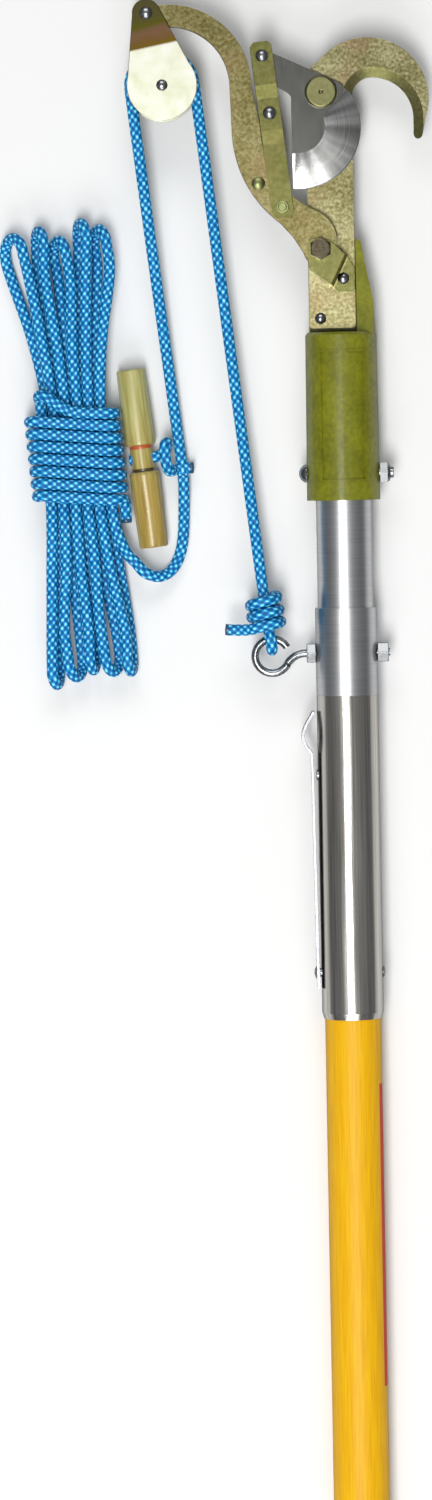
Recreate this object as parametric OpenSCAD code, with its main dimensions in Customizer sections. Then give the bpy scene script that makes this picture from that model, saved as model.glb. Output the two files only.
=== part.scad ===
// Tree pruner head on the top section of a sectional pole, laid flat.
// +Y runs along the pole to the head, +X to the hook side, +Z up from the surface it lies on.
// The origin is on the pole axis, at the butt end.

/* [Pole] */
// Length of the pole tube
pole_length = 1219; // [900:1:1800]
// Outside diameter of the pole
pole_d = 31.75; // [29:0.05:33]
// Wall of the pole tube
pole_wall = 2.8; // [1.5:0.1:5]
// Radial gap between tubes that slide together
slip = 0.12; // [0.05:0.01:0.2]
// Depth of the butt plug
plug_depth = 25; // [10:1:60]

/* [Ferrule and latch] */
// Length of the ferrule
ferrule_length = 183; // [175:1:240]
// Wall of the ferrule and of the collar
tube_cover = 1.45; // [1:0.05:2.2]
// Length of pole inside the ferrule
pole_depth = 95; // [60:1:98]
// Distance of the through rivet from the lower end of the ferrule
rivet_up = 26; // [18:1:50]
// Distance of the latch button from the mouth of the ferrule
button_down = 45; // [38:1:60]
// Diameter of the latch button
button_d = 6; // [4:0.5:8]
// Thickness of the latch strip
latch_t = 1.6; // [1:0.1:2.4]
// Width of the latch strip
latch_w = 10; // [8:0.5:14]
// Gap between the latch strip and the ferrule
latch_gap = 0.8; // [0.6:0.1:2]
// Reach of the finger tab from the strip
tab_reach = 6.5; // [4:0.5:10]

/* [Adapter] */
// Wall of the adapter tube
tube_wall = 2.1; // [1.5:0.1:3]
// Free length inside the ferrule between the pole and the adapter tube
tube_apart = 8; // [4:1:12]
// Length of adapter tube in view between collar and socket
tube_show = 61; // [40:1:120]
// Length of the collar
collar_length = 49.5; // [40:0.5:80]
// Distance of the eye bolt from the upper end of the collar
eye_down = 25.5; // [18:0.5:30]
// Wire diameter of the eye bolt
eye_wire = 4.4; // [3.5:0.1:5]
// Radius of the eye at the middle of its wire
eye_r = 9.7; // [9:0.1:11]

/* [Socket] */
// Diameter of the socket casting at its lower end
socket_d = 41.5; // [40:0.5:46]
// Length of the round socket
socket_length = 95; // [80:1:96]
// Depth of the socket bore
socket_bore = 86; // [60:1:88]
// Height of the cross bolt above the lower end of the socket
cross_up = 15.3; // [10:0.1:30]
// Diameter of the cross bolt and of the lever bolt
bolt_d = 6.35; // [5:0.05:6.5]

/* [Head] */
// Thickness of the hook plate
hook_t = 6.4; // [5:0.1:8]
// Width of the hook's ground edge
hook_bevel = 5.4; // [3:0.1:6]
// Thickness of the blade
blade_t = 3.5; // [2.5:0.1:4.5]
// Thickness left at the blade's cutting edge
edge_t = 0.4; // [0.2:0.1:0.8]
// Thickness of the lever
lever_t = 8; // [6:0.1:10]
// Thickness of the link straps and of the bracket
strap_t = 2.5; // [1.5:0.1:3]
// Width of the link straps
strap_w = 12.4; // [11:0.1:13]
// Gap between plates that turn on each other
run_gap = 0.2; // [0.1:0.05:0.4]
// Diameter of the link and block rivets
pin_d = 5; // [4:0.1:5.6]
// Diameter of the blade pivot
blade_pin_d = 8; // [6:0.1:10]
// Radial gap of a pivot in its hole
pin_fit = 0.06; // [0.03:0.01:0.1]
// Radial room for the link rivet in the blade's tail
tail_room = 2.2; // [2.2:0.05:2.4]

/* [Return spring] */
// Wire diameter of the spring
spring_wire = 1.1; // [0.8:0.05:1.2]
// Outside diameter of the coils
spring_d = 7; // [6:0.1:7.2]
// Number of coils
spring_coils = 13; // [8:1:13]

/* [Pulley block] */
// Thickness of the block plates
block_t = 2; // [1.5:0.1:3]
// Width of the sheave
sheave_w = 13; // [12:0.5:15]
// Radius of the lower end of the block plates
block_r = 19.8; // [19:0.1:22]

/* [Rope and handle] */
// Diameter of the rope
rope_d = 6.4; // [5.6:0.1:6.6]
// Gap between neighbouring turns of the hank
rope_gap = 0.45; // [0.42:0.01:0.6]
// Full loops in the hank
hank_loops = 5; // [3:1:5]
// Turns wrapped round the hank's waist
hank_wraps = 8; // [5:1:8]
// Length of the toggle handle
toggle_length = 102; // [80:1:120]
// Diameter of the toggle at its ends
toggle_d = 16.4; // [15:0.1:17]
// Diameter of the toggle beside its neck
toggle_mid_d = 17.6; // [16:0.1:18]
// Diameter of the toggle's neck
neck_d = 13; // [11:0.1:13]

/* [Hidden] */
$fn = 48;

// Stations along the pole
ferrule_y = pole_length - pole_depth;
ferrule_top = ferrule_y + ferrule_length;
collar_top = ferrule_top + collar_length;
eye_y = collar_top - eye_down;
head_y = collar_top + tube_show;
rivet_y = ferrule_y + rivet_up;
button_y = ferrule_top - button_down;

// Radii round the pole axis
pole_r = pole_d / 2;
sleeve_r = pole_r + slip;
cover_r = sleeve_r + tube_cover;
socket_r = socket_d / 2;
socket_top_r = socket_r - 0.6;
floor_z = -socket_r;
spigot_ease = 0.1;

// Levels of the plates, counted from the pole axis
hook_top = hook_t / 2;
blade_z = hook_top + run_gap;
blade_top = blade_z + blade_t;
lever_z = hook_top + run_gap;
lever_top = lever_z + lever_t;
middle_z = lever_z + lever_t / 2;
strap_back_z = hook_top - strap_t;
strap_low_z = blade_top + run_gap;
strap_high_z = lever_top + run_gap;
strap_mid_z = (strap_low_z + strap_high_z) / 2;
tongue_seat = -hook_top - 6;

// Pivots and pins of the head, from the lower end of the socket on the pole axis
lever_pivot = [-11, 142];
blade_pivot = [-9, 231];
link_low = [-32, 166];
link_top = [-42, 252];
link_mid = link_low + (link_top - link_low) * 0.62;
spring_foot = [-45.3, 179.7];
block_top = [-107, 277];
sheave_at = [-98.7, 235.9];
bracket_hole = [1.9, 125.5];
shank_hole = [-11.3, 103];

// Plan of the hook plate
shank_left = -17.6;
shank_right = 8.6;
shank_end = socket_length + 2.4;
hook_back = [17.3, 227];
hook_back_r = 34.8;
mouth_x = 20;
mouth_big_r = 23.5;
mouth_small_r = 11.3;
mouth_top = 239.4;
hook_tip = [46, 206.6];
hook_cheek = [47.6, 214.5];
hook_tip_r = 2.4;

// Plan of the blade
edge_at = [-21.5, 211.3];
edge_r = 34.9;
grind_at = [-22.3, 212];
grind_r = 15.3;
blade_body = [[-25.3, 170], [40, 170], [40, 229], [5.5, 231.8], [2.2, 235.8], [-7.4, 240.5], [-16.4, 244.7],
  [-23, 236], [-26, 229]];
blade_tail = [[-12, 236], [-12, 224], [-26, 229], [-27.6, 230.9], [-33.6, 234.5], [-41, 239.5], [-47.2, 246],
  [-47.9, 252], [-46.5, 256.4], [-42, 258], [-38, 254.6], [-16.4, 244.7]];
grind_side = [[20, 246.9], [-33, 189.3], [-33, 150], [80, 150], [80, 246.9]];

// Plan of the lever: two rings joined by a short straight, with a broad shoulder at the pivot
lever_crook = [-94.8, 235];
crook_in = 34.2;
crook_out = 46.6;
lever_sweep = [8, 211];
sweep_in = 51.5;
sweep_out = 67.8;
shoulder_at = [-19.8, 146.6];
shoulder_r = 18.4;
lever_eye_r = 9.5;
lever_tip_r = 6.3;

// Block and sheave
block_top_r = 7.9;
block_rise = sheave_w / 2 + run_gap;
block_seat = lever_t / 2 + run_gap;
rope_turn_r = 18.2;
rope_lean = 6.7;
rope_dir = [sin(rope_lean), -cos(rope_lean)];
rope_side = [cos(rope_lean), sin(rope_lean)];
rope_r = rope_d / 2;
rope_sides = 10;

// Hardware sizes
nut_af = 11.1;
nut_h = 5.4;
eye_nut_af = 10.6;
wall_fit = 0.1;
wire_ease = 0.05;

// Routes of the rope, from the lower end of the socket on the pole axis
eye_run_start = sheave_at + rope_turn_r * rope_side;
handle_run_start = sheave_at - rope_turn_r * rope_side;
eye_run_length = 290;
eye_run_end = eye_run_start + eye_run_length * rope_dir;
eye_knot_z = 3.6;
eye_run = concat(
  [for (s = [[0.1, 0], [8, 0], [50, -2.5], [95, -6], [145, -8.5], [195, -9], [240, -7], [282, -3.8]])
    concat(eye_run_start + s[0] * rope_dir, middle_z + s[1])],
  [concat(eye_run_end, eye_knot_z)]);
tuck_at = [-91.3, 19.5, -14];
handle_run = [concat(handle_run_start + 0.1 * rope_dir, middle_z),
  concat(handle_run_start + 8 * rope_dir, middle_z), [-112, 193, 4], [-107.3, 153, -2], [-102.4, 112, -8],
  [-97.4, 71, -12], [-93.4, 37.4, -14], [-91.7, 23.4, -14]];
tail_run = [[-90.9, 15.4, -14], [-90.6, 8, -14.4], [-90.8, -6, -17], [-91.6, -20, -17.4], [-94, -31, -17.2],
  [-99, -39, -15.6], [-106, -41.8, -11.6]];
knot_route = [[0.02, -0.15, 3.6], [0.6, -5, 3.6], [1.4, -12, 3.6], [2.2, -19, 3.8], [3.2, -25, 5.9],
  [4.2, -29.5, 5.8], [4.5, -33, 4], [4.6, -34.4, 0], [4.5, -33, -4], [4.2, -29.5, -5.8], [3.2, -25, -5.9],
  [2.2, -19, -3.8], [1.6, -13, -3.6], [3.4, -8.3, -4.8], [7.8, -5.8, -2.2], [7.8, -6.3, 4.6],
  [3.6, -7.5, 10.6], [-3, -9.4, 10.2], [-6.2, -11.4, 3.6], [-6, -12.6, -3.8], [-1.8, -13.7, -10.3],
  [4.8, -14.6, -10.4], [9.2, -15.4, -3.6], [9.3, -16.2, 3.9], [5.2, -17.2, 10.6], [-1.4, -18.6, 10.9],
  [-7, -20, 7.6], [-13, -21, 5.6], [-21.5, -21.4, 5]];

// Toggle handle and the hitch through its neck
toggle_lean = 6.5;
neck_length = 14;
toggle_at = [-113.9, 25.5, floor_z + toggle_mid_d / 2 + 0.15];
hitch_route = [[-7.4, 0, 0], [0, 0, 0], [8.2, 0, 0], [11.6, 1.2, 0.3], [14.4, 4.2, 1.8], [15.2, 7, 5.2],
  [13.8, 5.8, 9], [13.2, 0.2, 9.9], [13.4, -5.6, 8.2], [14.6, -9, 4], [17.3, -8.8, -0.4], [21.8, -8.5, -2.2],
  [28.2, -9, -2.2]];

// Hank: strands side by side in two layers, drawn in at the waist and wrapped there
hank_at = [-151.5, 30];
hank_lean = 5;
hank_pitch = rope_d + rope_gap;
hank_half = hank_loops * hank_pitch / 2;
wrap_pitch = hank_pitch + 0.2;
wrap_off = hank_pitch + 0.3;
wrap_top = 26.5;
waist = wrap_top + 4;
hank_reach = 116;
hank_ends = [[-1, 3], [4, 1], [-5, 0], [-3, 2], [-8, 6]];
// How far the left loop of the hank stands open
open_loop = 5.5;
fan_top = 1.75;
fan_low = 1.55;
layer_swell = 2.1;
hank_waist_z = floor_z + 1.5 * hank_pitch + rope_r + 0.3;
hank_end_z = floor_z + layer_swell * hank_pitch / 2 + rope_r + 0.3;

// Functions for routes and tubes
function unit(v) = v / norm(v);
function ease(t) = let (c = min(max(t, 0), 1)) c * c * (3 - 2 * c);
function bend(a, b, c, d, t) = 0.5 * (2 * b + (c - a) * t + (2 * a - 5 * b + 4 * c - d) * t * t
  + (3 * b - a - 3 * c + d) * t * t * t);
function smooth(p, steps) = let (last = len(p) - 1) concat(
  [for (i = [0 : last - 1], k = [0 : steps - 1])
    bend(p[max(i - 1, 0)], p[i], p[i + 1], p[min(i + 2, last)], k / steps)], [p[last]]);
function headings(p) = let (last = len(p) - 1)
  [for (i = [0 : last]) unit(p[min(i + 1, last)] - p[max(i - 1, 0)])];
function first_side(t) = unit(cross(t, abs(t[2]) < 0.9 ? [0, 0, 1] : [1, 0, 0]));
function sides_of(t) = [for (i = 0, n = first_side(t[0]); i < len(t);
  i = i + 1, n = i < len(t) ? unit(n - (n * t[i]) * t[i]) : n) n];
function route_length(p) = [for (i = 0, s = 0; i < len(p);
  i = i + 1, s = i < len(p) ? s + norm(p[i] - p[i - 1]) : s) s];
function least_gap(p, d) = let (s = route_length(p), last = len(p) - 1)
  min([for (i = [0 : last - 1], j = [i + 1 : last]) if (s[j] - s[i] > 2.2 * d) norm(p[i] - p[j])]) - d;

// Path of the hank: w across, v along, z up
function fan(v) = 1 + ((v > 0 ? fan_top : fan_low) - 1) * ease((abs(v) - waist) / (hank_reach - waist));
function layer_gap(v) = hank_pitch * (1 + (layer_swell - 1) * ease((abs(v) - waist) / (hank_reach - waist)));
function middle_height(v) = hank_waist_z
  + (hank_end_z - hank_waist_z) * ease((abs(v) - waist) / (hank_reach - waist));
function strand_point(w, v, layer, bow = 0) = [
  w * fan(v) - bow * ease((v - waist) / (hank_reach - waist)), v, middle_height(v) + layer * layer_gap(v) / 2];
strand_stations = [-0.85, -0.55, -waist / hank_reach, 0, waist / hank_reach, 0.55, 0.85];
function strand(w, layer, way, reach, bow = 0) =
  [for (s = strand_stations) strand_point(w, way * s * reach, layer, bow)];
function fold(w0, l0, w1, reach, way, bow = 0) = let (
    a = strand_point(w0, way * reach, l0),
    b = strand_point(w1, way * reach, -l0, bow),
    r = norm(a - b) / 2)
  [for (t = [0 : 30 : 180]) (a + b) / 2 + (a - b) / 2 * cos(t) + [0, way * r * 1.15 * sin(t), 0]];
function loop_path(i) = let (
    w0 = hank_half - i * hank_pitch,
    w1 = w0 - hank_pitch / 2,
    w2 = w0 - hank_pitch,
    top = hank_reach + hank_ends[i][0],
    low = hank_reach + hank_ends[i][1],
    bow = i == hank_loops - 1 ? open_loop : 0)
  concat(
    i == 0 ? [for (s = [2 : 6]) strand(w0, 1, 1, top)[s]] : strand(w0, 1, 1, top),
    fold(w0, 1, w1, top, 1, bow),
    strand(w1, -1, -1, low, bow),
    fold(w1, -1, w2, low, -1));
function wrap_corner(w, z, a0) = [for (a = [0 : 30 : 90]) [w + wrap_off * cos(a0 - a), z + wrap_off * sin(a0 - a)]];
// One turn crosses the front from left to right and returns behind
wrap_ring = let (h = hank_pitch / 2) concat(
  [[-hank_half, h + wrap_off], [0, h + wrap_off]], wrap_corner(hank_half, h, 90),
  wrap_corner(hank_half, -h, 0), [[0, -h - wrap_off]], wrap_corner(-hank_half, -h, 270),
  [for (s = [0 : 2]) wrap_corner(-hank_half, h, 180)[s]]);
// Each turn drops by the pitch while it crosses the front
wrap_drops = [0.1, 0.5, 0.9, 0.95];
function wrap_point(k) = let (
    count = len(wrap_ring),
    c = wrap_ring[k % count],
    drop = floor(k / count) + (k % count < 4 ? wrap_drops[k % count] : 1))
  [c[0], wrap_top - wrap_pitch * drop, hank_waist_z + c[1]];
turn_back = wrap_off / 2 + 0.2;
wrap_count = (hank_wraps - 1) * len(wrap_ring) + 6;
wrap_end = wrap_point(wrap_count - 1);
hank_lead = [4.6, -6.2, -0.7];
hank_start = [hank_half + 10, -66, middle_height(-66) + 0.6 * rope_r];
hank_flat = concat(
  [hank_start, hank_start - hank_lead, [hank_half + 1.2, -46, strand_point(0, -46, 1)[2]]],
  [for (i = [0 : hank_loops - 1]) each loop_path(i)],
  [for (s = [0 : 3]) strand(-hank_half, 1, 1, hank_reach)[s]],
  [for (a = [0 : 30 : 150]) [-hank_half - 0.9 * sin(a) + 5 * pow(a / 150, 3), wrap_top + 3.5 + turn_back * sin(a),
    hank_waist_z + hank_pitch / 2 + turn_back * (1 - cos(a))]],
  [for (k = [1 : wrap_count - 1]) wrap_point(k)],
  [wrap_end + [0.6, -3.6, 2.4], wrap_end + [0.4, -8, 3.6], wrap_end + [0.2, -13, 4.2]]);
function lay_hank(p) = [
  hank_at[0] + p[0] * cos(hank_lean) - p[1] * sin(hank_lean),
  hank_at[1] + p[0] * sin(hank_lean) + p[1] * cos(hank_lean), p[2]];
hank_path = [for (p = hank_flat) lay_hank(p)];
tail_path = concat(smooth(concat(tail_run, [lay_hank(hank_start + hank_lead)]), 2),
  [lay_hank(hank_start + 0.03 * hank_lead)]);

// Path of the spring: s from the middle rivet to the spring pin, b across, z up
spring_span = norm(spring_foot - link_mid);
spring_r = (spring_d - spring_wire) / 2;
spring_z = strap_back_z - spring_d / 2 - 0.6;
hook_r = pin_d / 2 + spring_wire / 2 + 0.25;
coil_start = hook_r + 4.4;
coil_length = spring_span - 2 * coil_start;
spring_flat = concat(
  [for (a = [300 : -30 : 30]) [hook_r * cos(a), hook_r * sin(a), 0]],
  [[coil_start - 1.4, 1.2, 0.6]],
  [for (k = [0 : 8 * spring_coils]) [coil_start + coil_length * k / (8 * spring_coils),
    spring_r * sin(45 * k), spring_r * cos(45 * k)]],
  [[spring_span - coil_start + 1.4, 1.2, 0.6]],
  [for (a = [150 : -30 : -120]) [spring_span + hook_r * cos(a), hook_r * sin(a), 0]]);

// Least gap of each wound tube to itself
echo(hank_gap = least_gap(hank_path, rope_d));
echo(hank_length = route_length(hank_path)[len(hank_path) - 1]);
echo(spring_gap = least_gap(spring_flat, spring_wire));
echo(knot_gap = least_gap(smooth(knot_route, 3), rope_d));
echo(hitch_gap = least_gap(smooth(hitch_route, 3), rope_d));

// Shared shapes
module tube(path, d, sides) {
  t = headings(path);
  n = sides_of(t);
  last = len(path) - 1;
  points = [for (i = [0 : last], k = [0 : sides - 1])
    let (a = 360 * k / sides) path[i] + d / 2 * (cos(a) * n[i] + sin(a) * cross(t[i], n[i]))];
  walls = [for (i = [0 : last - 1], k = [0 : sides - 1])
    let (a = i * sides + k, b = i * sides + (k + 1) % sides) each [[a, a + sides, b + sides], [a, b + sides, b]]];
  caps = [for (k = [1 : sides - 2]) each [[0, k, k + 1],
    [last * sides, last * sides + k + 1, last * sides + k]]];
  polyhedron(points, concat(walls, caps));
}

module in_head() { translate([0, head_y, 0]) children(); }

module at(p, z = 0) { translate([p[0], p[1], z]) children(); }

module slab(z, t) { translate([0, 0, z]) linear_extrude(t) children(); }

module along_y(y, h, r1, r2) { translate([0, y, 0]) rotate([-90, 0, 0]) cylinder(h = h, r1 = r1, r2 = r2); }

module along_x(x, h, r) { translate([x, 0, 0]) rotate([0, 90, 0]) cylinder(h = h, r = r); }

module pipe(y, h, r_out, r_in) {
  difference() {
    along_y(y, h, r_out, r_out);
    along_y(y - 1, h + 2, r_in, r_in);
  }
}

module dome(r, h) {
  big = (r * r + h * h) / (2 * h);
  intersection() {
    translate([0, 0, h - big]) sphere(big);
    cylinder(h = h, r = r);
  }
}

module hex(af, h) { cylinder(h = h, r = af / sqrt(3), $fn = 6); }

module hex_nut(af, h, bore) {
  difference() {
    hex(af, h);
    translate([0, 0, -1]) cylinder(h = h + 2, r = bore);
  }
}

// A rivet from z0 to z1 with a dome on top and a flat formed head below
module rivet(z0, z1, r, head_r, head_h) {
  translate([0, 0, z0]) cylinder(h = z1 - z0, r = r);
  translate([0, 0, z1]) dome(head_r, head_h);
  translate([0, 0, z0 - head_h * 0.7]) cylinder(h = head_h * 0.7, r = head_r * 0.9);
}

// A rivet with a flat flange and its own end standing up in the middle
module ring_rivet(z0, z1, r, head_r, head_h) {
  translate([0, 0, z0]) cylinder(h = z1 - z0, r = r);
  translate([0, 0, z1]) cylinder(h = head_h * 0.55, r1 = head_r, r2 = head_r - 0.25);
  translate([0, 0, z1]) cylinder(h = head_h, r1 = r + 0.1, r2 = r - 0.3);
  translate([0, 0, z0 - head_h * 0.7]) cylinder(h = head_h * 0.7, r = head_r * 0.9);
}

// A bent plate: a profile along local Y, seen from the side, w wide
module bent_bar(w, profile) {
  translate([-w / 2, 0, 0]) rotate([90, 0, 90]) linear_extrude(w) polygon(profile);
}

// Profile of a strip of thickness t that steps from level z0 to z1 between y1 and y2
function step_profile(y0, y1, y2, y3, z0, z1, t) =
  [[y0, z0], [y1, z0], [y2, z1], [y3, z1], [y3, z1 + t], [y2, z1 + t], [y1, z0 + t], [y0, z0 + t]];

// Pole section
module pole_tube() {
  color("gold") difference() {
    union() {
      along_y(0, ferrule_y, pole_r, pole_r);
      along_y(ferrule_y, pole_depth, pole_r - spigot_ease, pole_r - spigot_ease);
    }
    along_y(-1, pole_length + 2, pole_r - pole_wall, pole_r - pole_wall);
    translate([0, rivet_y, 0]) along_x(-pole_r - 1, pole_d + 2, pin_d / 2 + wall_fit);
  }
}

module pole_core() {
  core_r = pole_r - pole_wall - slip;
  color("wheat") difference() {
    along_y(plug_depth + 1, pole_length - plug_depth - 1, core_r, core_r);
    translate([0, rivet_y, 0]) along_x(-pole_r, pole_d, pin_d / 2 + wall_fit);
  }
}

module butt_plug() {
  plug_r = pole_r - pole_wall - slip;
  color("black") along_y(0, plug_depth, plug_r, plug_r);
}

module ferrule() {
  roll = 3.5;
  color("silver") difference() {
    union() {
      along_y(ferrule_y, roll, sleeve_r + 0.35, cover_r);
      along_y(ferrule_y + roll, ferrule_length - roll, cover_r, cover_r);
    }
    along_y(ferrule_y - 1, ferrule_length + 2, sleeve_r, sleeve_r);
    translate([0, rivet_y, 0]) along_x(-cover_r - 1, 2 * cover_r + 2, pin_d / 2 + wall_fit);
    translate([0, button_y, 0]) along_x(-cover_r - 1, cover_r, button_d / 2 + 0.4);
  }
}

module ferrule_rivet() {
  head_h = 1.3;
  head_r = pin_d / 2 + 1.2;
  left = -cover_r - latch_gap - latch_t - 0.3;
  color("gray") translate([0, rivet_y, 0]) {
    along_x(left, cover_r + 0.1 - left, pin_d / 2);
    translate([cover_r + 0.1, 0, 0]) rotate([0, 90, 0]) dome(head_r, head_h);
    translate([left, 0, 0]) rotate([0, -90, 0]) dome(head_r, head_h);
  }
}

// Strip beside the ferrule, bowed out into a finger tab at its upper end
tab_length = 27;
function tab_bow(t) = tab_reach * pow(sin(180 * pow(min(1, max(0, t)), 0.85)), 1.3);
function tab_point(t, side) = let (
    slope = (tab_bow(t + 0.02) - tab_bow(t - 0.02)) / (0.04 * tab_length),
    middle = [-cover_r - latch_gap - latch_t / 2 - tab_bow(t), button_y + 10 + tab_length * t])
  middle + side * latch_t / 2 * [1, slope] / norm([1, slope]);
module latch_strip() {
  x0 = -cover_r - latch_gap;
  x1 = x0 - latch_t;
  foot = rivet_y - 9;
  color("lightgray") difference() {
    translate([0, 0, -latch_w / 2]) linear_extrude(latch_w) polygon(concat([[x1, foot], [x0, foot]],
      [for (k = [1 : 13]) tab_point(k / 13.5, 1)], [for (k = [13 : -1 : 1]) tab_point(k / 13.5, -1)]));
    translate([0, rivet_y, 0]) along_x(x1 - 1, latch_t + 2, pin_d / 2 + 0.15);
  }
}

module latch_button() {
  color("silver") translate([0, button_y, 0])
    along_x(-cover_r - latch_gap, latch_gap + tube_cover + tube_wall + slip - 0.3, button_d / 2);
}

// Adapter
module adapter_tube() {
  lower = ferrule_y + pole_depth + tube_apart;
  color("lightgray") difference() {
    pipe(lower, head_y + socket_bore - 0.5 - lower, pole_r - spigot_ease, pole_r - tube_wall);
    translate([0, button_y, 0]) along_x(-pole_r - 1, pole_r, button_d / 2 + 0.5);
    translate([0, eye_y, 0]) along_x(-pole_r - 1, pole_d + 2, eye_wire / 2 + wall_fit);
    translate([0, head_y + cross_up, 0]) along_x(-pole_r - 1, pole_d + 2, bolt_d / 2 + wall_fit);
  }
}

module collar() {
  color("silver") difference() {
    pipe(ferrule_top + 0.05, collar_length - 0.05, cover_r, sleeve_r);
    translate([0, eye_y, 0]) along_x(-cover_r - 1, 2 * cover_r + 2, eye_wire / 2 + wall_fit);
  }
}

// Open eye: straight shank, a bend of 60 degrees, then five sixths of a circle
eye_bend = 60;
eye_low = 1.3;
neck_r = (eye_r * cos(eye_bend) + eye_low) / (1 - cos(eye_bend));
eye_nut_t = 5;
neck_x = -cover_r - 0.1 - eye_nut_t - 0.5;
eye_at = [neck_x - sin(eye_bend) * (neck_r + eye_r), eye_y - eye_low];
module wire_arc(at, r, from, sweep) {
  translate([at[0], at[1], 0]) rotate([0, 0, from])
    rotate_extrude(angle = sweep) translate([r, 0]) circle(eye_wire / 2);
}
module eye_bolt() {
  color("gray") {
    translate([0, eye_y, 0]) along_x(neck_x, cover_r + 0.1 + eye_nut_t + 2.2 - neck_x, eye_wire / 2);
    wire_arc([neck_x, eye_y - neck_r], neck_r, 90, eye_bend);
    wire_arc(eye_at, eye_r, eye_bend / 2, 360 - eye_bend);
  }
}

module eye_bolt_nuts() {
  color("gray") translate([0, eye_y, 0]) {
    translate([-cover_r - 0.1, 0, 0]) rotate([0, -90, 0]) hex_nut(eye_nut_af, eye_nut_t, eye_wire / 2 + wire_ease);
    translate([cover_r + 0.1, 0, 0]) rotate([0, 90, 0]) hex_nut(eye_nut_af, eye_nut_t + 1.2, eye_wire / 2 + wire_ease);
  }
}

// Socket casting: round socket, tongue behind the shank, wing beside it
wing_x = shank_right + 0.4;
tongue_top = 147.6;
module tongue_plan() {
  polygon([[shank_left, socket_length - 6], [socket_top_r, socket_length - 6], [18.4, 113], [15, 130],
    [12, tongue_top - 1.6], [10.8, tongue_top], [shank_left + 2, tongue_top], [shank_left, tongue_top - 2]]);
}
module tongue_side(front_low, front_top) {
  translate([-30, 0, 0]) rotate([90, 0, 90]) linear_extrude(60)
    polygon([[socket_length - 6, -16.5], [tongue_top + 1, -10.4], [tongue_top + 1, front_top],
      [socket_length - 6, front_low]]);
}
module socket_casting() {
  panel_w = 24;
  panel_low = cross_up - 3.5;
  panel_length = socket_length - 11 - panel_low;
  panel_depth = 0.5;
  rim_w = 1;
  rim_h = 0.4;
  seats = [lever_pivot, bracket_hole, shank_hole];
  color("olivedrab") in_head() difference() {
    union() {
      along_y(0, socket_length - 1.5, socket_r, socket_top_r);
      along_y(socket_length - 1.5, 1.5, socket_top_r, socket_top_r - 1.5);
      // raised rim of the bare panel
      intersection() {
        translate([-panel_w / 2 - rim_w, panel_low - rim_w, 0])
          cube([panel_w + 2 * rim_w, panel_length + 2 * rim_w, 60]);
        along_y(0, socket_length - 1.5, socket_r + rim_h, socket_top_r + rim_h);
      }
      intersection() {
        slab(-30, 60) tongue_plan();
        union() {
          tongue_side(-hook_top - 0.05, -hook_top - 0.05);
          intersection() {
            tongue_side(10.5, 4);
            translate([wing_x, 0, -30]) cube([60, 200, 60]);
          }
        }
        along_y(socket_length - 10, 80, socket_top_r, socket_top_r);
      }
    }
    along_y(-1, socket_bore + 1, sleeve_r, sleeve_r);
    difference() {
      translate([-panel_w / 2, panel_low, 0]) cube([panel_w, panel_length, 60]);
      along_y(0, socket_length, socket_r - panel_depth, socket_top_r - panel_depth);
    }
    translate([0, cross_up, 0]) along_x(-socket_r - 1, socket_d + 2, bolt_d / 2 + wall_fit);
    for (p = seats) {
      at(p, -30) cylinder(h = 40, r = (p == lever_pivot ? bolt_d : pin_d) / 2 + wall_fit);
      at(p, -30) cylinder(h = 30 + tongue_seat, r = p == lever_pivot ? nut_af / sqrt(3) + 0.6 : pin_d / 2 + 1.9);
    }
  }
}

module cross_bolt() {
  head_r = 5.4;
  color("silver") in_head() translate([0, cross_up, 0]) {
    along_x(-socket_r - 0.1, socket_d + 0.2 + nut_h + 2.4, bolt_d / 2);
    translate([-socket_r - 0.1, 0, 0]) rotate([0, -90, 0]) dome(head_r, 4.2);
  }
}

module cross_bolt_nut() {
  color("silver") in_head() translate([socket_r + 0.1, cross_up, 0]) rotate([0, 90, 0]) difference() {
    union() {
      hex(nut_af, nut_h - 1.2);
      translate([0, 0, nut_h - 1.2]) cylinder(h = 1.6, r1 = nut_af / 2, r2 = nut_af / 2 - 1);
    }
    translate([0, 0, -1]) cylinder(h = nut_h + 4, r = bolt_d / 2 + wire_ease);
  }
}

// Hook plate with its shank
module hook_plan() {
  difference() {
    union() {
      at(hook_back) circle(hook_back_r);
      polygon([[shank_left, shank_end + 1.5], [shank_left + 1.5, shank_end], [shank_right - 1.5, shank_end],
        [shank_right, shank_end + 1.5], [shank_right, 240], [hook_back[0], 255], [-2, 255.2], [-14, 245.4],
        [shank_left, 241]]);
    }
    mouth_plan(0);
    translate([shank_right, 120]) square([mouth_x - shank_right, mouth_top - mouth_small_r - 120]);
    translate([mouth_x - 1, 120]) square([mouth_big_r + 1, mouth_top - mouth_big_r - 120]);
    translate([mouth_x, 120]) square([60, hook_tip[1] - 120]);
    difference() {
      translate([-60, 170]) square([60 + shank_right, 75]);
      translate([shank_left, 170]) square([60, 100]);
    }
  }
  hull() {
    at(hook_tip) circle(hook_tip_r);
    at(hook_cheek) circle(hook_tip_r);
  }
}

// The mouth is two arcs that share a tangent at the top
module mouth_plan(grow) {
  intersection() {
    translate([mouth_x, mouth_top - mouth_big_r]) circle(mouth_big_r + grow);
    translate([mouth_x, 0]) square([90, 400]);
  }
  translate([mouth_x, mouth_top - mouth_small_r]) circle(mouth_small_r + grow);
}

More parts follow.
